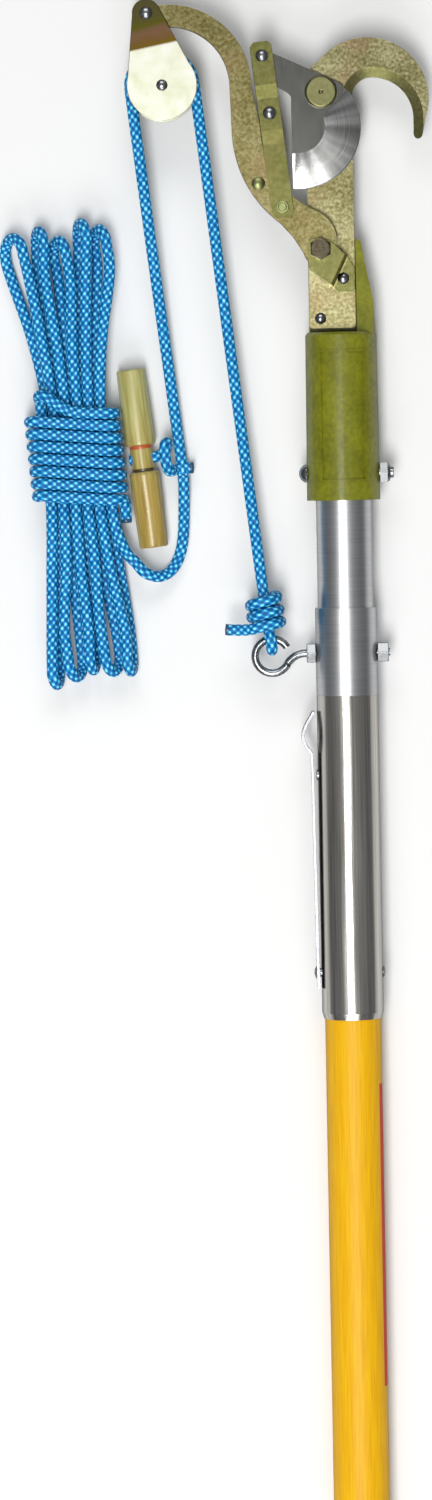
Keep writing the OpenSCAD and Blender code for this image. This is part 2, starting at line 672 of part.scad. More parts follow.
module mouth_cone(y, r) {
  low = -hook_top * 0.3;
  translate([mouth_x, y, low]) cylinder(h = hook_top - low, r1 = r, r2 = r + hook_bevel);
}
module mouth_grind() {
  low = -hook_top * 0.3;
  side = mouth_x + mouth_big_r;
  big_y = mouth_top - mouth_big_r;
  small_y = mouth_top - mouth_small_r;
  intersection() {
    mouth_cone(big_y, mouth_big_r);
    translate([mouth_x, big_y, -20]) cube([60, 60, 40]);
  }
  intersection() {
    mouth_cone(small_y, mouth_small_r);
    translate([mouth_x - 40, small_y, -20]) cube([40, 60, 40]);
  }
  translate([0, big_y - 20, 0]) rotate([-90, 0, 0]) linear_extrude(20)
    polygon([[side - 1, -low], [side, -low], [side + hook_bevel, -hook_top], [side - 1, -hook_top]]);
}

module hook_plate() {
  color("olive") in_head() difference() {
    slab(-hook_top, hook_t) hook_plan();
    mouth_grind();
    at(blade_pivot, -20) cylinder(h = 40, r = blade_pin_d / 2 + wall_fit);
    at(lever_pivot, -20) cylinder(h = 40, r = bolt_d / 2 + wall_fit);
    for (p = [bracket_hole, shank_hole]) at(p, -20) cylinder(h = 40, r = pin_d / 2 + wall_fit);
  }
}

// Blade with one wide conical grind
module blade() {
  color("dimgray") in_head() difference() {
    union() {
      slab(blade_z, blade_t) intersection() {
        at(edge_at) circle(edge_r);
        polygon(blade_body);
      }
      slab(blade_z, blade_t) polygon(blade_tail);
    }
    intersection() {
      slab(blade_z + edge_t, blade_t) polygon(grind_side);
      difference() {
        at(grind_at, blade_z + edge_t) cylinder(h = blade_t, r = 3 * edge_r);
        at(grind_at, blade_z + edge_t) cylinder(h = blade_t - edge_t, r1 = edge_r + 0.4, r2 = grind_r);
      }
    }
    at(blade_pivot) cylinder(h = 40, r = blade_pin_d / 2 + pin_fit);
    at(link_top) cylinder(h = 40, r = pin_d / 2 + tail_room);
  }
}

washer_t = 1.4;
module blade_pivot_bolt() {
  head_r = 9.1;
  low = -hook_top - washer_t - nut_h - 1.6;
  color("olive") in_head() at(blade_pivot) {
    translate([0, 0, low]) cylinder(h = blade_top + run_gap - low, r = blade_pin_d / 2);
    translate([0, 0, blade_top + run_gap]) difference() {
      union() {
        cylinder(h = 2.1, r = head_r);
        translate([0, 0, 2.1]) cylinder(h = 0.8, r1 = head_r, r2 = head_r - 1.1);
      }
      translate([0, 0, 3.4]) sphere(1.3);
    }
  }
}

module blade_pivot_washer() {
  color("silver") in_head() at(blade_pivot, -hook_top - washer_t) difference() {
    cylinder(h = washer_t, r = blade_pin_d / 2 + 5.2);
    translate([0, 0, -1]) cylinder(h = washer_t + 2, r = blade_pin_d / 2 + wall_fit);
  }
}

module blade_pivot_nut() {
  color("silver") in_head() at(blade_pivot, -hook_top - washer_t - nut_h)
    hex_nut(nut_af + 2, nut_h, blade_pin_d / 2 + wire_ease);
}

// S-shaped lever
module ring_part(center, r_in, r_out, from, to) {
  reach = 3 * r_out;
  at(center) intersection() {
    difference() {
      circle(r_out);
      circle(r_in);
    }
    polygon(concat([[0, 0]], [for (k = [0 : 3]) let (a = from + (to - from) * k / 3) reach * [cos(a), sin(a)]]));
  }
}

module lever_body() {
  crook_end = 104;
  slab(lever_z, lever_t) ring_part(lever_crook, crook_in, crook_out, 0, crook_end);
  slab(lever_z, lever_t) ring_part(lever_sweep, sweep_in, sweep_out, 180, 246);
  slab(lever_z, lever_t) polygon([lever_crook + [crook_in, 0], lever_crook + [crook_in + 2, 4],
    lever_crook + [crook_out - 2, 4], lever_crook + [crook_out, 0], lever_sweep + [-sweep_in, 0],
    lever_sweep + [-sweep_in - 2, -4], lever_sweep + [-sweep_out + 2, -4], lever_sweep + [-sweep_out, 0]]);
  slab(lever_z, lever_t) at(block_top) circle(lever_tip_r);
  slab(lever_z, lever_t) at(lever_pivot) circle(lever_eye_r);
  slab(lever_z, lever_t) intersection() {
    at(shoulder_at) circle(shoulder_r);
    polygon([[-34.5, 158.6], [-26, 149.2], [-18.4, 137], lever_pivot, lever_pivot + [lever_eye_r, 0],
      [10, 150], [0, 180], [-30, 175]]);
  }
}

module lever_arm() {
  color("olive") in_head() difference() {
    lever_body();
    at(lever_pivot) cylinder(h = 40, r = bolt_d / 2 + pin_fit);
    for (p = [link_low, block_top]) at(p) cylinder(h = 40, r = pin_d / 2 + pin_fit);
    at(spring_foot) cylinder(h = 40, r = pin_d / 2 + pin_fit);
  }
}

module lever_pivot_bolt() {
  seat = strap_high_z + strap_t;
  low = tongue_seat - nut_h - 1.6;
  color("olive") in_head() at(lever_pivot) {
    translate([0, 0, low]) cylinder(h = seat - low, r = bolt_d / 2);
    rotate([0, 0, 90]) translate([0, 0, seat]) intersection() {
      hex(nut_af, 4.2);
      translate([0, 0, -12]) sphere(17);
    }
  }
}

module lever_pivot_nut() {
  color("silver") in_head() at(lever_pivot, tongue_seat - nut_h) hex_nut(nut_af, nut_h, bolt_d / 2 + wire_ease);
}

// Bracket that holds the outer end of the lever bolt
module pivot_bracket() {
  step_top = [1.8, 139.6];
  step_low = [-6.4, 122.4];
  step_w = [strap_t * 0.9, -strap_t * 0.44];
  color("olive") in_head() difference() {
    union() {
      slab(strap_high_z, strap_t) polygon([[shank_left, 146], [shank_left + 1.5, 147.5], [-6.2, 147],
        [-2.3, 143.8], step_top, step_low, [shank_left, 131]]);
      slab(hook_top, strap_high_z + strap_t - hook_top)
        polygon([step_top, step_top + step_w, step_low + step_w, step_low]);
      slab(hook_top, strap_t) polygon([step_top + step_w, [shank_right - 0.2, 132], [shank_right - 0.2, 119],
        [shank_right - 1.4, 117.8], [-1.1, 117.8], step_low + step_w]);
    }
    at(lever_pivot) cylinder(h = 40, r = bolt_d / 2 + wall_fit);
    at(bracket_hole) cylinder(h = 40, r = pin_d / 2 + wall_fit);
  }
}

module bracket_rivet() {
  color("silver") in_head() at(bracket_hole) rivet(tongue_seat, hook_top + strap_t, pin_d / 2, pin_d / 2 + 1, 1.8);
}

module shank_rivet() {
  color("silver") in_head() at(shank_hole) rivet(tongue_seat, hook_top, pin_d / 2, pin_d / 2 + 0.8, 1.8);
}

// Link straps, drawn from the lever rivet towards the blade rivet
link_length = norm(link_top - link_low);
link_turn = atan2(link_top[1] - link_low[1], link_top[0] - link_low[0]) - 90;
strap_end_r = 7;
module on_link() { in_head() at(link_low) rotate([0, 0, link_turn]) children(); }
module strap_plan() {
  intersection() {
    translate([-strap_w / 2, -20]) square([strap_w, link_length + 40]);
    union() {
      circle(strap_end_r);
      translate([0, link_length]) circle(strap_end_r);
      translate([-strap_w / 2, 0]) square([strap_w, link_length]);
    }
  }
}
// The front strap is cut off square, with clipped corners
module front_strap_plan() {
  half = strap_w / 2;
  clip = 2.4;
  low = -strap_end_r + 0.6;
  high = link_length + strap_end_r + 1;
  polygon([[-half + clip, low], [half - clip, low], [half, low + clip], [half, high - clip], [half - clip, high],
    [-half + clip, high], [-half, high - clip], [-half, low + clip]]);
}
module strap_holes() {
  for (y = [0, link_length, norm(link_mid - link_low)])
    translate([0, y, -20]) cylinder(h = 60, r = pin_d / 2 + wall_fit);
}
module link_front() {
  under = [[-20, strap_high_z], [36, strap_high_z], [44, strap_mid_z], [62, strap_mid_z], [70, strap_low_z],
    [link_length + 20, strap_low_z]];
  over = [for (k = [len(under) - 1:-1:0]) under[k] + [0, strap_t]];
  color("olive") on_link() difference() {
    intersection() {
      bent_bar(strap_w, concat(under, over));
      slab(-20, 60) front_strap_plan();
    }
    strap_holes();
  }
}

module link_back() {
  color("olive") on_link() difference() {
    slab(strap_back_z, strap_t) strap_plan();
    strap_holes();
  }
}

module link_blade_rivet() {
  color("silver") in_head() at(link_top)
    rivet(strap_back_z, strap_low_z + strap_t, pin_d / 2, pin_d / 2 + 1.2, 2);
}

// The middle rivet has a long tail behind the link for the spring
spring_tail = spring_z - spring_d / 2 - 0.4;
module link_middle_rivet() {
  color("silver") in_head() at(link_mid)
    rivet(spring_tail, strap_mid_z + strap_t, pin_d / 2, pin_d / 2 + 1.4, 2.2);
}

module link_spacer() {
  color("dimgray") in_head() at(link_mid, hook_top) difference() {
    cylinder(h = strap_mid_z - hook_top, r = pin_d / 2 + 1.6);
    translate([0, 0, -1]) cylinder(h = 40, r = pin_d / 2 + wall_fit);
  }
}

module link_lever_rivet() {
  color("silver") in_head() at(link_low)
    ring_rivet(strap_back_z, strap_high_z + strap_t, pin_d / 2, pin_d / 2 + 1.2, 1.3);
}

module spring_pin() {
  color("olive") in_head() at(spring_foot)
    rivet(spring_tail, lever_top, pin_d / 2, pin_d / 2 + 1.4, 1.4);
}

module return_spring() {
  turn = atan2(spring_foot[1] - link_mid[1], spring_foot[0] - link_mid[0]);
  color("saddlebrown") in_head() at(link_mid, spring_z) rotate([0, 0, turn]) tube(spring_flat, spring_wire, 6);
}

// Pulley block: two bent plates that hug the lever and stand clear of the sheave
block_length = norm(sheave_at - block_top);
block_turn = atan2(sheave_at[1] - block_top[1], sheave_at[0] - block_top[0]) - 90;
module on_block() { in_head() at(block_top, middle_z) rotate([0, 0, block_turn]) children(); }
module block_plan() {
  lean = asin((block_r - block_top_r) / block_length);
  // The straight sides start and end just inside the round ends, so they cross them cleanly
  top = 0.985 * block_top_r * [cos(lean), -sin(lean)];
  low = [0, block_length] + 0.985 * block_r * [cos(lean), -sin(lean)];
  circle(block_top_r);
  translate([0, block_length]) circle(block_r);
  polygon([top, low, [-low[0], low[1]], [-top[0], top[1]]]);
}
module block_plate() {
  step_from = 11;
  step_to = 19;
  difference() {
    intersection() {
      bent_bar(3 * block_r, step_profile(-20, step_from, step_to, block_length + 30, block_seat, block_rise, block_t));
      slab(-30, 60) block_plan();
    }
    for (y = [0, block_length]) translate([0, y, -20]) cylinder(h = 60, r = pin_d / 2 + wall_fit);
  }
}
module block_plate_front() { color("darkkhaki") on_block() block_plate(); }
module block_plate_back() { color("darkkhaki") on_block() mirror([0, 0, 1]) block_plate(); }

module block_rivet() {
  reach = block_seat + block_t;
  color("silver") on_block() rivet(-reach, reach, pin_d / 2, pin_d / 2 + 1.2, 1.8);
}

module sheave_axle() {
  reach = block_rise + block_t;
  color("silver") on_block() translate([0, block_length, 0]) rivet(-reach, reach, pin_d / 2, pin_d / 2 + 0.8, 1.6);
}

module sheave() {
  half = sheave_w / 2;
  rim_r = 19;
  groove_r = rope_r + 0.25;
  color("dimgray") on_block() translate([0, block_length, 0]) difference() {
    rotate_extrude() difference() {
      translate([0, -half]) square([rim_r, sheave_w]);
      translate([rope_turn_r, 0]) circle(groove_r);
      translate([rope_turn_r, -groove_r]) square([10, 2 * groove_r]);
    }
    translate([0, 0, -half - 1]) cylinder(h = sheave_w + 2, r = pin_d / 2 + pin_fit);
  }
}

// Rope
module rope_over_sheave() {
  color("royalblue") in_head() at(sheave_at, middle_z) rotate([0, 0, rope_lean])
    rotate_extrude(angle = 180) translate([rope_turn_r, 0]) circle(rope_r);
}

module rope_eye_run() { color("royalblue") in_head() tube(eye_run, rope_d, rope_sides); }

module rope_eye_knot() {
  color("royalblue") in_head() at(eye_run_end) tube(smooth(knot_route, 2), rope_d, rope_sides - 2);
}

module rope_handle_run() { color("royalblue") in_head() tube(handle_run, rope_d, rope_sides); }

module on_toggle() { in_head() translate(toggle_at) rotate([0, 0, toggle_lean]) children(); }

module rope_handle_hitch() {
  color("royalblue") on_toggle() tube(smooth(hitch_route, 2), rope_d, rope_sides - 2);
}

module rope_tail() { color("royalblue") in_head() tube(tail_path, rope_d, rope_sides); }

module rope_hank() { color("royalblue") in_head() tube(hank_path, rope_d, 6); }

module toggle_handle() {
  half = toggle_length / 2;
  neck = neck_length / 2;
  soft = 0.8;
  color("burlywood") on_toggle() difference() {
    rotate([-90, 0, 0]) rotate_extrude() polygon([[0, -half], [toggle_d / 2 - soft, -half], [toggle_d / 2, -half + soft],
      [toggle_mid_d / 2, -neck - 2.5], [toggle_mid_d / 2 - 0.4, -neck - 1], [neck_d / 2, -neck], [neck_d / 2, neck],
      [toggle_mid_d / 2 - 0.4, neck + 1], [toggle_mid_d / 2, neck + 2.5], [toggle_d / 2, half - soft],
      [toggle_d / 2 - soft, half], [0, half]]);
    along_x(-toggle_mid_d, 2 * toggle_mid_d, rope_r + 0.3);
  }
}

pole_tube();
pole_core();
butt_plug();
ferrule();
ferrule_rivet();
latch_strip();
latch_button();
adapter_tube();
collar();
eye_bolt();
eye_bolt_nuts();
socket_casting();
cross_bolt();
cross_bolt_nut();
hook_plate();
blade();
blade_pivot_bolt();
blade_pivot_washer();
blade_pivot_nut();
lever_arm();
lever_pivot_bolt();
lever_pivot_nut();
pivot_bracket();
bracket_rivet();
shank_rivet();
link_front();
link_back();
link_blade_rivet();
link_middle_rivet();
link_spacer();
link_lever_rivet();
spring_pin();
return_spring();
block_plate_front();
block_plate_back();
block_rivet();
sheave_axle();
sheave();
rope_over_sheave();
rope_eye_run();
rope_eye_knot();
rope_handle_run();
rope_handle_hitch();
rope_tail();
rope_hank();
toggle_handle();
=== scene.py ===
import math
import bpy
import numpy as np
from mathutils import Matrix, Vector

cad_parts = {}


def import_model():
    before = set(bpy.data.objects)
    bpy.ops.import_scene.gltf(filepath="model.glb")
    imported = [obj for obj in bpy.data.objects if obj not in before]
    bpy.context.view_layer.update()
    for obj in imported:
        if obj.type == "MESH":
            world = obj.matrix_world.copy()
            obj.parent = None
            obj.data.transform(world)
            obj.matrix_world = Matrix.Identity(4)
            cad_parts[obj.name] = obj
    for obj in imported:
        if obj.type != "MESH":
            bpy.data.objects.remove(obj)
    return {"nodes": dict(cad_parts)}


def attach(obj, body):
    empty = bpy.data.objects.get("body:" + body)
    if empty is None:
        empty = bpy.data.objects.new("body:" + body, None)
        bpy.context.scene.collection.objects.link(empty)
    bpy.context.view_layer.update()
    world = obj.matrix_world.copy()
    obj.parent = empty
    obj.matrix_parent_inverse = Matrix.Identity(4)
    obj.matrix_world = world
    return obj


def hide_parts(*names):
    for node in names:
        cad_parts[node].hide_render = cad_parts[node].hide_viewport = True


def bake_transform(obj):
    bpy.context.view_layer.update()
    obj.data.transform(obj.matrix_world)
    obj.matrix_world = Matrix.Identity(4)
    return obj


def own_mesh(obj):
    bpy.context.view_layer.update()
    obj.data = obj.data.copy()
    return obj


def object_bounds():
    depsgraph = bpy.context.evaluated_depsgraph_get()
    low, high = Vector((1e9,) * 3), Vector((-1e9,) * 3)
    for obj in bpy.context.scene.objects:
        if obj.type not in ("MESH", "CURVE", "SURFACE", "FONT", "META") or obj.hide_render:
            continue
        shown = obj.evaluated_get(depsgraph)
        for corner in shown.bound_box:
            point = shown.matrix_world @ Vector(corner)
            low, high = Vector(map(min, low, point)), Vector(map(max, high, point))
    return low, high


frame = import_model()
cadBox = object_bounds()
nodes = frame["nodes"]
scene = bpy.context.scene
headY = 1417.5  # mm from the pole's butt to the lower face of the head's socket
print("frame loaded,", len(nodes), "CAD nodes")

# Camera: above the pole, its upright ray a little way up the head, the frame slid down the pole
cameraLook = {
    "height": 3.0,  # m above the pole's axis
    "under": (-0.0719, 1.4471),  # point straight below the lens, m
    "tilt": 0.0,  # degrees towards the butt
    "roll": 1.04,  # degrees, the pole's top leans to the left in the picture
    "lens": 127.0,  # mm on a 36 mm long side
    "slide": -0.2,  # share of the long side
}


def placeCamera(look):
    data = bpy.data.cameras.new("photoCamera")
    data.sensor_width = 36
    data.lens = look["lens"]
    data.shift_y = look["slide"]
    data.dof.use_dof = False
    data.clip_start = 0.05
    data.clip_end = 50
    camera = bpy.data.objects.new("photoCamera", data)
    scene.collection.objects.link(camera)
    roll = math.radians(look["roll"])
    tilt = math.radians(look["tilt"])
    right = Vector((math.cos(roll), -math.sin(roll), 0))
    ahead = Vector((math.sin(roll), math.cos(roll), 0))
    up = ahead * math.cos(tilt) - Vector((0, 0, math.sin(tilt)))
    back = ahead * math.sin(tilt) + Vector((0, 0, math.cos(tilt)))
    turn = Matrix((right, up, back)).transposed().to_4x4()
    camera.matrix_world = Matrix.Translation((*look["under"], look["height"])) @ turn
    scene.camera = camera


placeCamera(cameraLook)
print("camera placed")

# Rope: the cord's own values, then where it runs, in mm across, up from the socket and above the axis
rope = {
    "diameter": 6.4,
    "ring": 0.9,  # mm between two rings of the mesh
    "sides": 20,
    "columns": 10,  # columns of stitches round the rope
    "stitch": 4.8,  # mm from one stitch of the braid to the next in its column
    "swell": 0.03,  # how far a stitch stands out, share of the radius
    "twist": 0.02,  # radians per mm
}
reeve = {
    "sheave": (-98.7, 235.9, 7.4),  # its middle
    "radius": 18.2,  # from there to the middle of the rope
    "lean": 6.7,  # degrees, the rope at the sheave against the pole
    "eyeRun": 290,  # from the sheave to the knot
}
toggle = {
    "at": (-113.9, 25.5),  # the middle of its bore
    "height": -11.8,
    "lean": 6.5,  # degrees
}
endBulge = 0.12  # how far the end of a rope or wire stands out, share of its radius
sheaveAt = np.array(reeve["sheave"])
turnRadius = reeve["radius"]
lean = math.radians(reeve["lean"])
ropeDown = np.array([math.sin(lean), -math.cos(lean), 0])
ropeSide = np.array([math.cos(lean), math.sin(lean), 0])
floorZ = -20.75  # what the hank lies on


def world(points):
    return [Vector((p[0] / 1000, (p[1] + headY) / 1000, p[2] / 1000)) for p in points]


def turned(p, piece):
    # a point of a leaning piece, given from the piece's own middle
    turn = math.radians(piece["lean"])
    c, s = math.cos(turn), math.sin(turn)
    return (piece["at"][0] + c * p[0] - s * p[1], piece["at"][1] + s * p[0] + c * p[1], p[2])


def flowing(points, step):
    # a smooth line through all the points, then points on it at even distances
    p = np.array(points, float)
    p = np.vstack([2 * p[0] - p[1], p, 2 * p[-1] - p[-2]])
    fine = []
    for i in range(1, len(p) - 2):
        count = max(3, int(np.linalg.norm(p[i + 1] - p[i]) / step * 3))
        t = (np.arange(count) / count)[:, None]
        fine.append(0.5 * (2 * p[i] + (p[i + 1] - p[i - 1]) * t
                           + (2 * p[i - 1] - 5 * p[i] + 4 * p[i + 1] - p[i + 2]) * t ** 2
                           + (3 * p[i] - p[i - 1] - 3 * p[i + 1] + p[i + 2]) * t ** 3))
    line = np.vstack([*fine, p[-2:-1]])
    run = np.concatenate([[0], np.cumsum(np.linalg.norm(np.diff(line, axis=0), axis=1))])
    even = np.linspace(0, run[-1], max(4, int(round(run[-1] / step)) + 1))
    return np.stack([np.interp(even, run, line[:, k]) for k in range(3)], axis=1)


def tube(name, line, radius, sides, stitch=1.0, swell=0.0, twist=0.0, endRings=0):
    # rings carried along the line without spinning, each stitch a small rise on them
    tangent = np.gradient(line, axis=0)
    tangent /= np.linalg.norm(tangent, axis=1)[:, None]
    side = np.cross(tangent[0], [0.31, 0.17, 0.93])  # any direction will do that no line starts in
    side /= np.linalg.norm(side)
    run = np.concatenate([[0], np.cumsum(np.linalg.norm(np.diff(line, axis=0), axis=1))])
    angle = np.arange(sides) * 2 * math.pi / sides
    verts = []
    for i in range(len(line)):
        side = side - tangent[i] * side.dot(tangent[i])
        side /= np.linalg.norm(side)
        other = np.cross(tangent[i], side)
        spin = angle + twist * run[i]
        rise = 1 + swell * np.cos(rope["columns"] / 2 * angle) * math.cos(2 * math.pi * run[i] / stitch)
        around = np.cos(spin)[:, None] * side + np.sin(spin)[:, None] * other
        verts.append(line[i] + radius * rise[:, None] * around)
    last = len(line) - 1
    bulge = tangent * radius * endBulge
    verts = np.vstack([*verts, line[:1] - bulge[:1], line[-1:] + bulge[-1:]])
    faces, uvs, slots = [], [], []
    for i in range(last):
        for k in range(sides):
            n = (k + 1) % sides
            faces.append((i * sides + k, i * sides + n, (i + 1) * sides + n, (i + 1) * sides + k))
            uvs += [(k / sides, run[i] / stitch), ((k + 1) / sides, run[i] / stitch),
                    ((k + 1) / sides, run[i + 1] / stitch), (k / sides, run[i + 1] / stitch)]
            slots.append(1 if i >= last - endRings else 0)
    for k in range(sides):
        n = (k + 1) % sides
        faces += [(n, k, len(verts) - 2), (last * sides + k, last * sides + n, len(verts) - 1)]
        uvs += [(0.5, 0)] * 3 + [(0.5, run[-1] / stitch)] * 3
        slots += [0, 1 if endRings else 0]
    mesh = bpy.data.meshes.new(name)
    mesh.from_pydata([tuple(v) for v in np.array(world(verts))], [], faces)
    mesh.polygons.foreach_set("use_smooth", [True] * len(faces))
    mesh.polygons.foreach_set("material_index", slots)
    mesh.uv_layers.new(name="braid").data.foreach_set("uv", np.array(uvs, np.float32).ravel())
    piece = bpy.data.objects.new(name, mesh)
    scene.collection.objects.link(piece)
    return piece


def ropePiece(name, points, endRings=0):
    line = flowing(points, rope["ring"])
    piece = tube(name, line, rope["diameter"] / 2, rope["sides"], rope["stitch"], rope["swell"],
                 rope["twist"], endRings)
    return piece, world(line)


# The hank: five long loops laid side by side, then eight turns round their waist
hank = {
    "at": (-151.5, 30),  # its middle
    "lean": 5,  # degrees
    "pitch": 6.85,  # mm between two strands
    "lift": 3.5,  # from the floor to the middle of the lowest strand or turn
    "waist": 30.5,  # from the middle to where the strands begin to part
    "reach": 116,  # from the middle to where the loops turn back
    "ends": [(-1, 3), (4, 1), (-5, 0), (2, 2), (-2, 6)],  # how much further each loop reaches, top and bottom
    "openLoop": 3.4,  # how far the left loop stands open
    "sway": 1.8,  # how far a strand wanders between waist and end
    "wave": (0.052, 2.3, 1.9),  # radians of that wandering per mm along, per mm across and per layer
    "fanTop": 1.75,  # distance of the strands at the ends, share of that at the waist
    "fanLow": 1.55,
    "swell": 2.1,  # the same for the two layers
    "foldLong": 1.15,  # length of a fold, share of a half circle's
    "entry": (10, -66, 1.92),  # where the tail comes in: right of the strands, along them, above them
    "entryWay": (4.6, -6.2, -0.7),  # from there backwards
    "firstStrand": (1.2, -46),  # next point: right of the strands, along them
    "crossOver": (3.5, 0.9, 5, 0.2),  # last strand to first turn: mm above the turn, bulge, shift, slack
    "wrapTop": 26.5,  # the first turn
    "wrapPitch": 7.05,
    "wrapOff": 7.15,  # from the outer strands to a turn
    "wraps": 8,
    "wrapDrops": (0.1, 0.5, 0.9, 0.95),  # a turn drops while it crosses the front
    "cutEnd": [(0.6, -3.6, 2.4), (0.4, -8, 3.6), (0.2, -13, 4.2)],  # from the last turn's end
}
hankHalf = 2.5 * hank["pitch"]  # from its middle to the outer strands
# the height between its two layers, at the waist, where the turns lift it, and at the ends
waistZ = floorZ + 1.5 * hank["pitch"] + hank["lift"]
endZ = floorZ + hank["swell"] * hank["pitch"] / 2 + hank["lift"]


def ease(t):
    t = min(1, max(0, t))
    return t * t * (3 - 2 * t)


def strandPoint(w, v, layer, bow=0):
    span = hank["reach"] - hank["waist"]
    out = ease((abs(v) - hank["waist"]) / span)
    fan = 1 + ((hank["fanTop"] if v > 0 else hank["fanLow"]) - 1) * out
    gap = hank["pitch"] * (1 + (hank["swell"] - 1) * out)
    along, aside, layered = hank["wave"]
    wander = hank["sway"] * out * math.sin(along * v + aside * w + layered * layer)
    across = w * fan + wander - bow * ease((v - hank["waist"]) / span)
    return np.array([across, v, waistZ + (endZ - waistZ) * out + layer * gap / 2])


def strand(w, layer, way, reach, bow=0):
    inner = hank["waist"] / hank["reach"]
    shares = (-0.85, -0.55, -inner, 0, inner, 0.55, 0.85)
    return [strandPoint(w, way * s * reach, layer, bow) for s in shares]


def fold(w0, layer, w1, reach, way, bow=0):
    a = strandPoint(w0, way * reach, layer)
    b = strandPoint(w1, way * reach, -layer, bow)
    out = way * (np.linalg.norm(a - b) / 2) * hank["foldLong"]
    turn = [math.radians(t) for t in range(0, 181, 30)]
    return [(a + b) / 2 + (a - b) / 2 * math.cos(t) + np.array([0, out * math.sin(t), 0]) for t in turn]


def wrapRing():
    # one turn: across the front from left to right, then back behind
    h = hank["pitch"] / 2
    off = hank["wrapOff"]
    ring = [(-hankHalf, h + off), (0, h + off)]
    for w, z, start in ((hankHalf, h, 90), (hankHalf, -h, 0), (-hankHalf, -h, 270), (-hankHalf, h, 180)):
        for a in (0, 30, 60, 90):
            t = math.radians(start - a)
            ring.append((w + off * math.cos(t), z + off * math.sin(t)))
        if start == 0:
            ring.append((0, -h - off))
    return ring[:-1]


def wrapPoint(ring, k):
    turn, place = divmod(k, len(ring))
    drop = turn + (hank["wrapDrops"][place] if place < len(hank["wrapDrops"]) else 1)
    return np.array([ring[place][0], hank["wrapTop"] - hank["wrapPitch"] * drop, waistZ + ring[place][1]])


def hankRoute():
    pitch, reach = hank["pitch"], hank["reach"]
    right, along, above = hank["entry"]
    start = np.array([hankHalf + right, along, strandPoint(0, along, 0)[2] + above])
    lead = np.array(hank["entryWay"])
    right, along = hank["firstStrand"]
    first = np.array([hankHalf + right, along, strandPoint(0, along, 1)[2]])
    route = [start + lead, start, start - lead, first]
    for i, (top, low) in enumerate(hank["ends"]):
        w = hankHalf - i * pitch
        bow = hank["openLoop"] if i == len(hank["ends"]) - 1 else 0
        rising = strand(w, 1, 1, reach + top)
        route += rising[2:] if i == 0 else rising
        route += fold(w, 1, w - pitch / 2, reach + top, 1, bow)
        route += strand(w - pitch / 2, -1, -1, reach + low, bow)
        route += fold(w - pitch / 2, -1, w - pitch, reach + low, -1)
    route += strand(-hankHalf, 1, 1, reach)[:4]
    # the last strand turns back over itself into the first turn round the waist
    above, bulge, shift, slack = hank["crossOver"]
    back = hank["wrapOff"] / 2 + slack
    for a in range(0, 151, 30):
        t = math.radians(a)
        across = -hankHalf - bulge * math.sin(t) + shift * (a / 150) ** 3
        along = hank["wrapTop"] + above + back * math.sin(t)
        route.append(np.array([across, along, waistZ + pitch / 2 + back * (1 - math.cos(t))]))
    ring = wrapRing()
    lastPlace = (hank["wraps"] - 1) * len(ring) + 5  # the last turn stops at the right side
    end = wrapPoint(ring, lastPlace)
    route += [wrapPoint(ring, k) for k in range(1, lastPlace + 1)]
    route += [end + np.array(d) for d in hank["cutEnd"]]
    return [turned(p, hank) for p in route]


